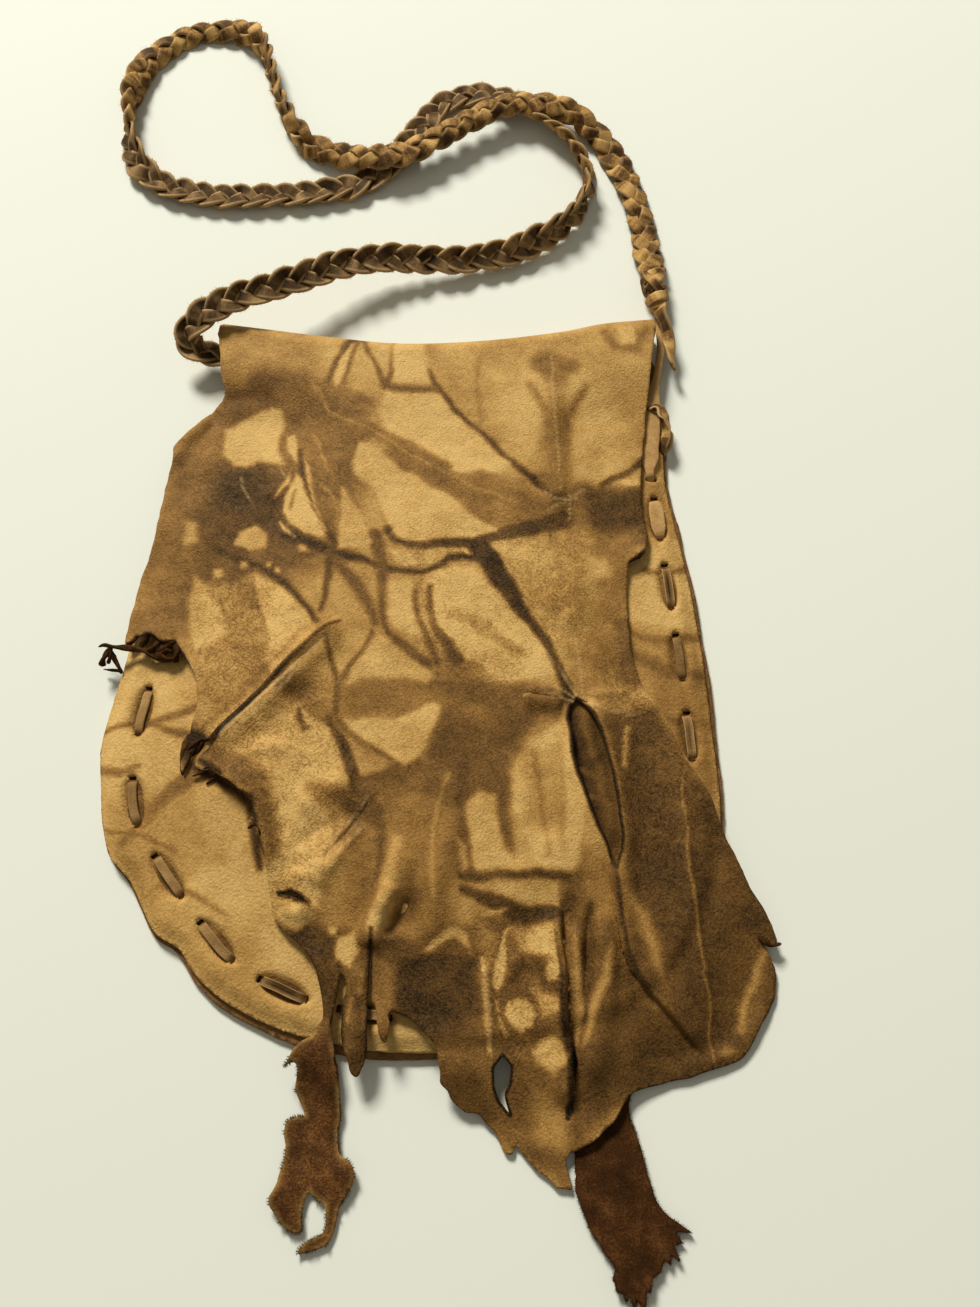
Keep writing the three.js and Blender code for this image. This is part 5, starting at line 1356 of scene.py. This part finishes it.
# %% Tendrils and shreds
# Each tendril: places with heights, half width at start and end, turns along its length
TENDRILS = [
    ([(-120.6, 37.8, 7.6), (-118.4, 38.4, 8), (-114.9, 37.5, 8.6), (-109.8, 37, 8.8), (-102.9, 35.8, 9),
        (-98.8, 34, 9), (-94.1, 32.4, 8.6), (-91.6, 33.8, 8.2)], 0.9, 1.9, 1.4),
    ([(-92, 31.6, 8), (-91, 34.4, 9), (-91.2, 37.4, 9.6), (-91.8, 39.8, 8.8)], 2.2, 1.5, 0.4),
    ([(-115.4, 37.4, 8.2), (-117.2, 35.4, 7.6), (-118.6, 33, 6.8), (-118.9, 30.6, 6.2)], 1.2, 1.7, 0.6),
    ([(-116.4, 36.4, 7.8), (-116.2, 34, 7), (-116.8, 31.6, 6.2)], 1.2, 0.9, 0.4),
    ([(-116.6, 37.5, 7.8), (-114.8, 33.9, 6.4), (-113.1, 30.9, 5), (-111.8, 28.6, 4)], 1.3, 0.9, 0.8),
    ([(-119.6, 30.9, 2.4), (-116.2, 30.4, 2.8), (-113.5, 29.9, 3.4), (-112.2, 28.6, 3.8)], 0.4, 0.8, 0.5),
    ([(-105.2, 37.4, 8.6), (-103.4, 39.1, 9.2), (-101.8, 42.1, 9.4), (-102.6, 43.6, 8.8)], 1.3, 1.2, 0.5),
    ([(-101.9, 34.8, 9), (-99.4, 37, 9.8), (-97.7, 40, 9.8), (-98, 42.6, 9.4),
        (-100.4, 41.6, 9.2)], 1.6, 1.2, 0.7),
    ([(-97.8, 35.2, 9.2), (-95.7, 37.2, 9.9), (-93.4, 38, 9.8), (-91.2, 39.3, 9.2)], 1.5, 1.4, 0.5),
    ([(-98, 33.4, 9.2), (-95, 35.4, 9.8), (-92.4, 35.2, 9.2)], 1.0, 1.1, 0.4),
    ([(-110.6, 38.3, 7.4), (-107.6, 39.9, 8.2), (-105.8, 42, 8.8), (-103.6, 42.6, 9.2)], 1.0, 0.8, 0.5),
    ([(-105.8, 42.4, 8.8), (-105.2, 44.4, 9.2), (-104, 46, 9.3)], 0.5, 0.4, 0.2),
    ([(-82.4, 4.6, 7.8), (-84.4, 1, 8.4), (-86, -3, 8.2), (-85.6, -10.8, 7)], 2.0, 0.8, 0.5),
    ([(-80.2, 2.4, 8.4), (-82.6, -0.6, 8.8), (-84.4, -2.8, 8.2)], 1.8, 0.9, 0.4),
    ([(-78.6, 1.4, 8.4), (-80, -1, 8.2), (-82.6, -4, 7.4)], 1.2, 0.5, 0.4),
    ([(-58.4, -25, 10.4), (-59, -28.6, 9.6), (-60.8, -30.6, 8.8)], 1.4, 0.8, 0.4),
    ([(-57.4, -27.6, 10.2), (-56, -31.4, 9.4), (-54.8, -34.6, 9)], 1.7, 1.0, 0.4),
    ([(-74.4, -8.2, 11), (-78.6, -10.4, 9.6), (-81.8, -11.6, 8.6)], 1.2, 0.5, 0.6),
    ([(-69.6, -9.4, 11), (-73.2, -11.8, 9.6), (-76.6, -14.6, 8.6)], 1.1, 0.5, 0.5),
    ([(82.4, 76.4, 8.6), (80.6, 74.4, 9.2), (78, 72.8, 8.8), (76, 71.6, 8)], 1.6, 0.9, 0.8),
    ([(3, -99, 7.6), (7, -102.6, 7.8), (9.6, -106, 7.2)], 0.6, 1.2, 0.4),
    ([(116, -66.4, 3.8), (120, -69.8, 4.4), (124, -69.2, 3.6)], 1.4, 0.7, 0.6),
]
shreds = []
for index, (places, start_half, end_half, turns) in enumerate(TENDRILS):
    rows = curve_through(places, 6 * len(places))
    share = np.linspace(0, 1, len(rows))
    _, across, upward = line_frames(rows)
    turn = 2 * math.pi * turns * share + index
    normal = upward * np.cos(turn)[:, None] + across * np.sin(turn)[:, None]
    half = mix(start_half, end_half, share) * np.sqrt(1 - 0.96 * (2 * share - 1) ** 6)
    half = half * (1 + 0.2 * soft_noise(share * 40, np.full_like(share, 11.0 * index), 6, 195, 2))
    shreds.append(ribbon(f"shred_{index}", rows, normal, half, np.minimum(half * 0.6, 0.8), 8))
tendrils = join(shreds, "torn_tendrils")
print("tendrils:", len(TENDRILS))

# %% [markdown]
# At the right end the strap is tied off: one strip goes round the others, and a loose end hangs
# down to a frayed tip. A short dark thong is bent round the edges of both panels below it.

# %% Knot, tail and edge loop
knot_parts = []
core = curve_through([(90.8, 207, 5.4), (91.6, 200, 5.4), (92.6, 193, 5.2), (93.4, 186.4, 5)], 26)
_, across, upward = line_frames(core)
knot_parts.append(ribbon("knot_core", core, upward, 3.6, 2.6, 12))
for index, (first, last, turns, shift) in enumerate([(0.18, 0.62, 1.15, 0.3), (0.44, 0.86, 1.05, 2.6)]):
    share = np.linspace(first, last, 60)
    middle = np.array([np.interp(share, np.linspace(0, 1, len(core)), column) for column in core.T]).T
    angle = 2 * math.pi * turns * np.linspace(0, 1, 60) + shift
    side = np.outer(np.cos(angle), [1.0, 0.15, 0.0]) * 4.4 + np.outer(np.sin(angle), [0.0, 0.0, 1.0]) * 3.3
    knot_parts.append(ribbon(f"knot_turn_{index}", middle + side, side, 2.3, 0.75, 12))
for index, places in enumerate([
    [(88.4, 204.6, 7.4), (89.4, 200, 9), (92, 196.4, 9.4), (94.6, 193.6, 8.2)],
    [(94.6, 205, 7.2), (94.2, 200.6, 8.8), (91.6, 197.6, 9.2), (89, 194.4, 7.4)],
]):
    rows = curve_through(places, 24)
    _, across, upward = line_frames(rows)
    knot_parts.append(ribbon(f"knot_cross_{index}", rows, upward, 1.9, 0.7, 12))
knot = join(knot_parts, "strap_end_knot")
store(knot, "strand", np.full(len(knot.data.vertices), 3.0))

rows = curve_through([
    (93.4, 189.4, 6), (94, 183, 7.6), (95.8, 176, 8), (96.6, 168, 7.6), (97, 161.6, 7),
    (98.6, 157.4, 6.6)], 60)
share = np.linspace(0, 1, len(rows))
_, across, upward = line_frames(rows)
turn = 1.1 * np.sin(share * 5.0)
half = mix(3.0, 2.2, share) * (1 - 0.5 * smoothstep(0.9, 1, share))
normal = upward * np.cos(turn)[:, None] + across * np.sin(turn)[:, None]
strap_tail = ribbon("strap_tail_end", rows, normal, half, 0.8, 12, 0.5)
store(strap_tail, "strand", np.full(len(strap_tail.data.vertices), 8.6))

loop_parts = []
for index, (lift, shift) in enumerate([(0.0, 0.0), (0.9, -1.6)]):
    rows = curve_through([
        (88.6 + shift, 140 - index, 6.4), (91 + shift, 138.6, 7.6), (93.4 + shift, 134.6, 7.4 + lift),
        (94.6 + 0.6 * shift, 129, 6.2 + lift), (94 + 0.5 * shift, 124, 4.8 + lift), (91.8, 120.8, 3.2)], 44)
    share = np.linspace(0, 1, len(rows))
    _, across, upward = line_frames(rows)
    rumple = soft_noise(40 * share, np.full_like(share, 30.0 * index), 7, 196, 2)
    turn = mix(0.5, -2.6, share) + 2.2 * index + 0.9 * rumple
    rows = rows + across * (0.7 * rumple)[:, None]
    loop_parts.append(ribbon(
        f"edge_strip_{index}", rows, upward * np.cos(turn)[:, None] + across * np.sin(turn)[:, None],
        (2.1 - 0.9 * (2 * share - 1) ** 4) * (1 + 0.3 * rumple), 0.6, 12, 0.6))
edge_loop = join(loop_parts, "edge_thong")
store(edge_loop, "strand", np.full(len(edge_loop.data.vertices), 5.0))
print("knot, tail and loop points:", [len(piece.data.vertices) for piece in (knot, strap_tail, edge_loop)])

# %% [markdown]
# The cut edges of the strap and of the suede are fuzzy. Short loose fibres stand out of them, each
# a thin closed spike. They come out the same each time, because the random numbers are seeded.

# %% Loose fibres
STRAP_FIBRES = 14000
TAIL_FIBRES = 1800
STRIP_FIBRES = 2200
FIBRE_RADIUS = 0.07


def fibres(name, roots, outward, shortest, longest, seed):
    """Thin spikes at the roots, which lean at random but mostly outward."""
    chance = np.random.default_rng(seed)
    lean = outward + chance.normal(0, 0.55, roots.shape)
    lean /= np.linalg.norm(lean, axis=1, keepdims=True)
    side = np.cross(lean, chance.normal(0, 1, roots.shape))
    side /= np.linalg.norm(side, axis=1, keepdims=True)
    other = np.cross(lean, side)
    length = chance.uniform(shortest, longest, (len(roots), 1))
    corners = [roots + FIBRE_RADIUS * (math.cos(a) * side + math.sin(a) * other) for a in (0.0, 2.1, 4.2)]
    verts = np.stack([*corners, roots + lean * length], axis=1).reshape(-1, 3)
    start = 4 * np.arange(len(roots))[:, None, None]
    faces = (start + np.array([(0, 2, 1), (0, 1, 3), (1, 2, 3), (2, 0, 3)])).reshape(-1, 3)
    return mesh_piece(name, verts, faces.tolist())


def vertex_rows(piece):
    """Places and normals of a piece's points, the places in millimetres."""
    places, normals = np.empty(3 * len(piece.data.vertices)), np.empty(3 * len(piece.data.vertices))
    piece.data.vertices.foreach_get("co", places)
    piece.data.vertex_normals.foreach_get("vector", normals)
    return places.reshape(-1, 3) / MM, normals.reshape(-1, 3)


def values_of(piece, name):
    """One number per point, read back from a mesh."""
    values = np.empty(len(piece.data.vertices))
    piece.data.attributes[name].data.foreach_get("value", values)
    return values


pick = np.random.default_rng(300)
places, normals = vertex_rows(strap)
rim = pick.choice(np.flatnonzero(np.abs(values_of(strap, "across")) > 0.8), STRAP_FIBRES)
strap_fibres = fibres("strap_fibres", places[rim], normals[rim], 0.4, 1.7, 301)

places, normals = vertex_rows(tail_strip)
rim = pick.choice(len(tail_loops[0]), TAIL_FIBRES)
suede_roots, suede_ways = places[rim], normals[rim]
places, normals = vertex_rows(hide)
rim = pick.choice(np.flatnonzero(values_of(hide, "suede")[:len(flap_line)] > 0.5), STRIP_FIBRES)
suede_roots, suede_ways = np.vstack([suede_roots, places[rim]]), np.vstack([suede_ways, normals[rim]])
suede_fibres = fibres("suede_fibres", suede_roots, suede_ways, 0.3, 1.3, 302)
print("fibres:", len(strap_fibres.data.vertices) // 4, len(suede_fibres.data.vertices) // 4)

# %% [markdown]
# Leather needs three finishes here: the smooth grain side with its dye, the fuzzy suede of the
# flesh side and of torn strips, and the pale cut edge. The grain's fine pebble and pores are
# shared by several materials, so they are built once as a node group.

# %% Node helpers
def colour(red, green, blue):
    """A colour written as it looks on a screen, from 0 to 255, as the linear values nodes use."""
    linear = (v / 255 / 12.92 if v <= 10 else ((v / 255 + 0.055) / 1.055) ** 2.4 for v in (red, green, blue))
    return (*linear, 1)


def tones(*stops):
    """Colour stops from rows of position, red, green and blue."""
    return [(position, colour(*shade)) for position, *shade in stops]


def new_node(tree, kind, settings=None, links=None, **properties):
    """Add a node, set its properties and sockets, and link what should feed it."""
    item = tree.nodes.new(kind)
    for key, value in properties.items():
        setattr(item, key, value)
    for socket, value in (settings or {}).items():
        item.inputs[socket].default_value = value
    for socket, source in (links or {}).items():
        tree.links.new(source, item.inputs[socket])
    return item


def ramp(tree, source, stops):
    """A colour ramp from stops of position and colour."""
    item = new_node(tree, "ShaderNodeValToRGB", links={"Fac": source})
    elements = item.color_ramp.elements
    while len(elements) < len(stops):
        elements.new(0.5)
    for element, (position, shade) in zip(elements, stops):
        element.position = position
        element.color = shade
    return item.outputs["Color"]


def maths(tree, operation, a, b=None, clamp=False):
    """A maths node on two sockets or numbers."""
    item = tree.nodes.new("ShaderNodeMath")
    item.operation = operation
    item.use_clamp = clamp
    for socket, value in zip(item.inputs, (a, b)):
        if isinstance(value, (int, float)):
            socket.default_value = value
        elif value is not None:
            tree.links.new(value, socket)
    return item.outputs[0]


def blend_colours(tree, share, a, b, mode="MIX"):
    """Mix two colours by a share, which may be a number or a socket."""
    item = tree.nodes.new("ShaderNodeMix")
    item.data_type = "RGBA"
    item.blend_type = mode
    for index, value in ((0, share), (6, a), (7, b)):
        if isinstance(value, (int, float, tuple)):
            item.inputs[index].default_value = value
        else:
            tree.links.new(value, item.inputs[index])
    return item.outputs[2]


def attribute(tree, name):
    return new_node(tree, "ShaderNodeAttribute", attribute_name=name).outputs["Fac"]


def around(tree, value, middle, amount, clamp=False):
    """How far a value lies above a middle one, times an amount."""
    return maths(tree, "MULTIPLY", maths(tree, "SUBTRACT", value, middle), amount, clamp=clamp)


def growing(tree, least, value, share):
    """A least amount plus a share of a value."""
    return maths(tree, "ADD", least, maths(tree, "MULTIPLY", value, share))


def noise(tree, vector, scale, detail, roughness=0.5, distortion=0.0):
    """The outputs of a noise texture, whose scale may be a number or a socket."""
    item = new_node(
        tree, "ShaderNodeTexNoise", {"Detail": detail, "Roughness": roughness, "Distortion": distortion},
        {"Vector": vector})
    if isinstance(scale, float):
        item.inputs["Scale"].default_value = scale
    else:
        tree.links.new(scale, item.inputs["Scale"])
    return item.outputs


def new_group(name, inputs, outputs):
    """An empty node group with named number inputs and outputs."""
    group = bpy.data.node_groups.new(name, "ShaderNodeTree")
    for label, value in inputs:
        socket = group.interface.new_socket(label, in_out="INPUT", socket_type="NodeSocketFloat")
        socket.default_value = value
    for label in outputs:
        group.interface.new_socket(label, in_out="OUTPUT", socket_type="NodeSocketFloat")
    return group, group.nodes.new("NodeGroupInput"), group.nodes.new("NodeGroupOutput")


print("node helpers ready")

# %% Leather grain group
PEBBLES_PER_METRE = 1400.0
PEBBLE_SHIFT = 0.0008

grain, into, out = new_group(
    "Leather grain", [("Pebble size", 1.0), ("Pore depth", 0.5)],
    ["Fine height", "Wrinkle height", "Speckle", "Cloud", "Stretch"])
coords = grain.nodes.new("ShaderNodeTexCoord").outputs["Object"]
pebble_scale = maths(grain, "DIVIDE", PEBBLES_PER_METRE, into.outputs["Pebble size"])
bent = noise(grain, coords, 500.0, 1.0)["Color"]
shift = new_node(grain, "ShaderNodeVectorMath", {1: (PEBBLE_SHIFT,) * 3}, {0: bent}, operation="MULTIPLY")
moved = new_node(grain, "ShaderNodeVectorMath", links={0: coords, 1: shift.outputs[0]}, operation="ADD")
moved = moved.outputs[0]
pebble = new_node(
    grain, "ShaderNodeTexVoronoi", {"Randomness": 1.0}, {"Vector": moved, "Scale": pebble_scale},
    feature="SMOOTH_F1").outputs["Distance"]
fine_noise = noise(grain, coords, 2600.0, 3.0, 0.7)["Fac"]
creases = noise(grain, coords, 170.0, 5.0, 0.62, 0.8)["Fac"]
cloud = noise(grain, coords, 60.0, 6.0, 0.6)["Fac"]
slanted = new_node(
    grain, "ShaderNodeMapping", {"Rotation": (0.0, 0.0, -0.9), "Scale": (0.0045, 0.0014, 0.0045)},
    {"Vector": moved}, vector_type="TEXTURE")
stretch = noise(grain, slanted.outputs[0], 1.0, 4.0, 0.7, 1.2)["Fac"]
dome = maths(grain, "SUBTRACT", 1.0, pebble)
pores = maths(grain, "MULTIPLY", fine_noise, into.outputs["Pore depth"])
ridge = maths(grain, "ABSOLUTE", maths(grain, "SUBTRACT", creases, 0.5))
ridge = maths(grain, "MINIMUM", maths(grain, "MULTIPLY", ridge, 26.0), 1.0)
speckle = growing(grain, maths(grain, "MULTIPLY", fine_noise, 0.6), pebble, 0.4)
for label, value in (
    ("Fine height", maths(grain, "ADD", dome, pores)), ("Wrinkle height", ridge), ("Speckle", speckle),
    ("Cloud", cloud), ("Stretch", stretch),
):
    grain.links.new(value, out.inputs[label])
print("grain group nodes:", len(grain.nodes))

# %% Suede nap group
nap, into, out = new_group("Suede nap", [("Scale", 1.0)], ["Height", "Shade"])
coords = nap.nodes.new("ShaderNodeTexCoord").outputs["Object"]
short = noise(nap, coords, maths(nap, "MULTIPLY", 1500.0, into.outputs["Scale"]), 4.0, 0.7)["Fac"]
patchy = noise(nap, coords, maths(nap, "MULTIPLY", 160.0, into.outputs["Scale"]), 4.0, 0.6)["Fac"]
nap.links.new(growing(nap, short, patchy, 0.5), out.inputs["Height"])
nap.links.new(growing(nap, maths(nap, "MULTIPLY", short, 0.55), patchy, 0.45), out.inputs["Shade"])
print("nap group nodes:", len(nap.nodes))

# %% Materials
def start_material(name, roughness):
    material = bpy.data.materials.new(name)
    material.use_nodes = True
    tree = material.node_tree
    shader = tree.nodes["Principled BSDF"]
    shader.inputs["Roughness"].default_value = roughness
    shader.inputs["Specular IOR Level"].default_value = 0.22
    shader.inputs["Specular Tint"].default_value = colour(255, 214, 150)
    return material, tree, shader


def use_group(tree, group, **values):
    item = tree.nodes.new("ShaderNodeGroup")
    item.node_tree = group
    for label, value in values.items():
        item.inputs[label.replace("_", " ")].default_value = value
    return item


def add_bump(tree, shader, height, strength, distance):
    """A bump on the shader, on top of one that is already there."""
    below = shader.inputs["Normal"].links
    bump = new_node(tree, "ShaderNodeBump", {"Strength": strength, "Distance": distance}, {"Height": height})
    if below:
        tree.links.new(below[0].from_socket, bump.inputs["Normal"])
    tree.links.new(bump.outputs["Normal"], shader.inputs["Normal"])


DYE_STOPS = tones(
    (0.0, 208, 168, 99), (0.15, 186, 144, 78), (0.35, 149, 108, 53), (0.55, 111, 78, 37),
    (0.75, 79, 54, 25), (0.90, 51, 34, 15), (1.0, 26, 16, 8))


def grain_material(name, pebble_size):
    """Smooth dyed leather whose colour follows the dye, painted shade and painted highlights stored on the
    points.
    """
    material, tree, shader = start_material(name, 0.56)
    surface = use_group(tree, grain, Pebble_size=pebble_size, Pore_depth=0.6).outputs
    coarse = attribute(tree, "coarse")
    mottled = around(tree, surface["Cloud"], 0.52, 0.46)
    # Pebble valleys and fine wrinkle lines come out darker and pebble tops lighter: partly the grain's own
    # colour, partly painted shade and painted sheen
    specks = around(tree, surface["Speckle"], 0.5, growing(tree, 0.30, coarse, 0.60))
    lines = around(tree, 0.8, surface["Wrinkle height"], maths(tree, "MULTIPLY", coarse, 0.16))
    pulled = around(tree, surface["Stretch"], 0.5, growing(tree, 0.16, coarse, 0.22))
    lines = maths(tree, "ADD", lines, pulled)
    depth = maths(tree, "ADD", attribute(tree, "dye"), mottled)
    depth = maths(tree, "ADD", depth, maths(tree, "ADD", specks, lines), clamp=True)
    shade = ramp(tree, depth, DYE_STOPS)
    # Lighter along the cracked grain and the painted highlights on fold crests
    bright = maths(tree, "MULTIPLY", attribute(tree, "crack_and_highlight"), 0.45)
    shade = blend_colours(tree, bright, shade, colour(220, 182, 118))
    furry = use_group(tree, nap, Scale=1.0).outputs
    suede_tones = tones((0.32, 34, 18, 8), (0.5, 74, 44, 19), (0.7, 140, 92, 46))
    shade = blend_colours(tree, attribute(tree, "suede"), shade, ramp(tree, furry["Shade"], suede_tones))
    tree.links.new(shade, shader.inputs["Base Color"])
    for label, strength, distance in (
        ("Stretch", 0.4, 0.0006), ("Wrinkle height", 0.3, 0.0004), ("Fine height", 0.7, 0.0003),
    ):
        add_bump(tree, shader, surface[label], strength, distance)
    return material


def nap_material(name, roughness, stops, bump=0.8, scale=1.0):
    """Suede coloured by its nap, ready for more, with the nap's shade."""
    material, tree, shader = start_material(name, roughness)
    furry = use_group(tree, nap, Scale=scale).outputs
    shade = ramp(tree, furry["Shade"], stops)
    add_bump(tree, shader, furry["Height"], bump, 0.0004)
    return material, tree, shader, furry["Shade"], shade


def suede_material(name, *shades):
    """Plain suede from a dark, a middle and a light colour."""
    stops = tones(*((position, *shade) for position, shade in zip((0.3, 0.5, 0.72), shades)))
    material, tree, shader, _, shade = nap_material(name, 0.92, stops)
    shader.inputs["Specular IOR Level"].default_value = 0.15
    tree.links.new(shade, shader.inputs["Base Color"])
    return material


def torn_edge_material():
    """The torn edge: pale where the hide is pale, dark where the dye, the painted shade or the suede is dark.
    """
    pale_tones = tones((0.3, 128, 104, 68), (0.55, 186, 160, 116), (0.75, 218, 196, 152))
    dark_tones = tones((0.3, 44, 26, 14), (0.55, 84, 54, 28), (0.75, 120, 82, 46))
    material, tree, shader, fuzz, pale = nap_material("torn hide edge", 0.9, pale_tones, scale=1.2)
    dark = ramp(tree, fuzz, dark_tones)
    depth = maths(tree, "MAXIMUM", attribute(tree, "dye"), attribute(tree, "suede"))
    share = around(tree, depth, 0.2, 2.6, clamp=True)
    tree.links.new(blend_colours(tree, share, pale, dark), shader.inputs["Base Color"])
    return material


def lace_material():
    """The thong: brown suede with paler cut edges, and painted shade in the hollow where it is curled up."""
    brown_tones = tones((0.3, 84, 60, 30), (0.5, 126, 95, 54), (0.72, 166, 132, 82))
    tan_tones = tones((0.3, 140, 100, 54), (0.5, 184, 142, 86), (0.72, 212, 174, 116))
    material, tree, shader, fuzz, brown = nap_material("lace leather", 0.85, brown_tones, 0.7, 1.3)
    shade = blend_colours(tree, attribute(tree, "pale"), brown, ramp(tree, fuzz, tan_tones))
    across, cup = maths(tree, "ABSOLUTE", attribute(tree, "across")), attribute(tree, "cup")
    # Painted shade in the hollow middle of a curled stitch
    hollow = around(tree, cup, 0.5, 1.1, clamp=True)
    hollow = around(tree, 1.05, across, hollow, clamp=True)
    shade = blend_colours(tree, hollow, shade, colour(48, 31, 14))
    rim = around(tree, across, 0.8, 4.0, clamp=True)
    rim = maths(tree, "MULTIPLY", rim, maths(tree, "MULTIPLY", cup, 0.6))
    shade = blend_colours(tree, rim, shade, colour(206, 168, 112))
    tree.links.new(shade, shader.inputs["Base Color"])
    return material


def strap_material():
    """Strap strips: dyed tan grain on one face, greyish suede on the other, pale fuzzy edges."""
    material, tree, shader = start_material("strap strip leather", 0.72)
    furry = use_group(tree, nap, Scale=1.0).outputs
    spread = new_node(tree, "ShaderNodeCombineXYZ", links={
        "X": maths(tree, "MULTIPLY", attribute(tree, "along"), 0.12), "Y": attribute(tree, "strand")})
    blotch = noise(tree, spread.outputs[0], 1.0, 3.0)["Fac"]
    across, face = maths(tree, "ABSOLUTE", attribute(tree, "across")), attribute(tree, "face")
    fuzzy = around(tree, furry["Shade"], 0.5, 0.5)
    dyed = maths(tree, "ADD", blotch, fuzzy)
    smooth = ramp(tree, dyed, tones(
        (0.38, 196, 156, 92), (0.47, 158, 118, 62), (0.53, 96, 66, 32), (0.62, 56, 37, 18)))
    rough = ramp(tree, dyed, tones(
        (0.36, 142, 112, 72), (0.45, 102, 76, 45), (0.53, 66, 46, 25), (0.63, 38, 26, 14)))
    shade = blend_colours(tree, face, rough, smooth)
    edge = around(tree, maths(tree, "ADD", across, fuzzy), 0.52, 2.8, clamp=True)
    strength = maths(tree, "SUBTRACT", 0.85, maths(tree, "MULTIPLY", face, 0.5))
    shade = blend_colours(tree, maths(tree, "MULTIPLY", edge, strength), shade, colour(184, 150, 100))
    tree.links.new(shade, shader.inputs["Base Color"])
    add_bump(tree, shader, furry["Height"], 0.5, 0.0003)
    return material


dyed_grain = grain_material("dyed hide grain", 1.0)
pale_grain = grain_material("pale hide grain", 1.25)
flesh_side = suede_material("hide flesh side", (84, 56, 32), (128, 92, 54), (164, 126, 80))
cut_edge = suede_material("cut leather edge", (120, 92, 58), (176, 146, 100), (212, 186, 142))
dark_suede = suede_material("dark torn suede", (30, 16, 7), (60, 35, 15), (112, 72, 36))
pale_fuzz = suede_material("loose strap fibres", (104, 78, 46), (152, 120, 76), (192, 160, 112))
torn_edge, lace_leather, strap_leather = torn_edge_material(), lace_material(), strap_material()

for piece, materials in (
    (hide, (dyed_grain, flesh_side, torn_edge)), (panel, (pale_grain, flesh_side, cut_edge)),
    (lace, (lace_leather,)), (strap, (strap_leather,)), (tail_strip, (dark_suede, dark_suede, dark_suede)),
    (tendrils, (dark_suede,)), (edge_loop, (strap_leather,)), (knot, (strap_leather,)),
    (strap_tail, (strap_leather,)), (strap_fibres, (pale_fuzz,)), (suede_fibres, (dark_suede,)),
):
    for material in materials:
        piece.data.materials.append(material)
print("materials:", len(bpy.data.materials))

# %% Attach each piece and hide the solids it replaces
for piece, nodes, slot in (
    (hide, ("hide",), "dyed_hide"), (tail_strip, ("hide",), "dyed_hide"), (tendrils, ("hide",), "dyed_hide"),
    (panel, ("front_panel",), "pale_hide"), (lace, ("lacing",), "lace"), (edge_loop, ("edge_loop",), "lace"),
    (knot, ("strap_knot",), "strap_leather"), (strap_tail, ("strap_tail",), "strap_leather"),
    (strap_fibres, ("strap",), "strap_leather"), (suede_fibres, ("hide",), "dyed_hide"),
):
    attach(piece, "root")
    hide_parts(*nodes)
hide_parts("strap", "strap_stop_knot")

# %% [markdown]
# The table is a plain pale floor. The light comes from above and behind the strap, so that
# shadows fall towards the viewer as they do in the photograph.

# %% Floor and light
FLOOR_SIZE = 4
FLOOR_Z = -0.0002
ROOM_LIGHT = 0.25
WINDOW_PLACE = (-1.15, 2.85, 2.35)
WINDOW_SIZE = 0.95
WINDOW_WATTS = 200.0

bpy.ops.mesh.primitive_plane_add(size=FLOOR_SIZE, location=(0, 0, FLOOR_Z))
floor = bpy.context.object
floor.name = "table_top"
material, tree, shader = start_material("pale table", 0.8)
shader.inputs["Base Color"].default_value = colour(226, 226, 208)
shader.inputs["Specular Tint"].default_value = colour(255, 255, 255)
floor.data.materials.append(material)

world = bpy.data.worlds.new("soft room")
bpy.context.scene.world = world
world.use_nodes = True
background = world.node_tree.nodes["Background"]
background.inputs["Color"].default_value = colour(250, 248, 240)
background.inputs["Strength"].default_value = ROOM_LIGHT


def area_light(name, location, target, size, power):
    data = bpy.data.lights.new(name, "AREA")
    data.size = size
    data.energy = power
    lamp = bpy.data.objects.new(name, data)
    bpy.context.collection.objects.link(lamp)
    lamp.location = location
    lamp.rotation_euler = (Vector(target) - Vector(location)).to_track_quat("-Z", "Y").to_euler()
    return lamp


area_light("window light", WINDOW_PLACE, (0, 0, 0), WINDOW_SIZE, WINDOW_WATTS)
bpy.context.scene.view_settings.view_transform = "Standard"
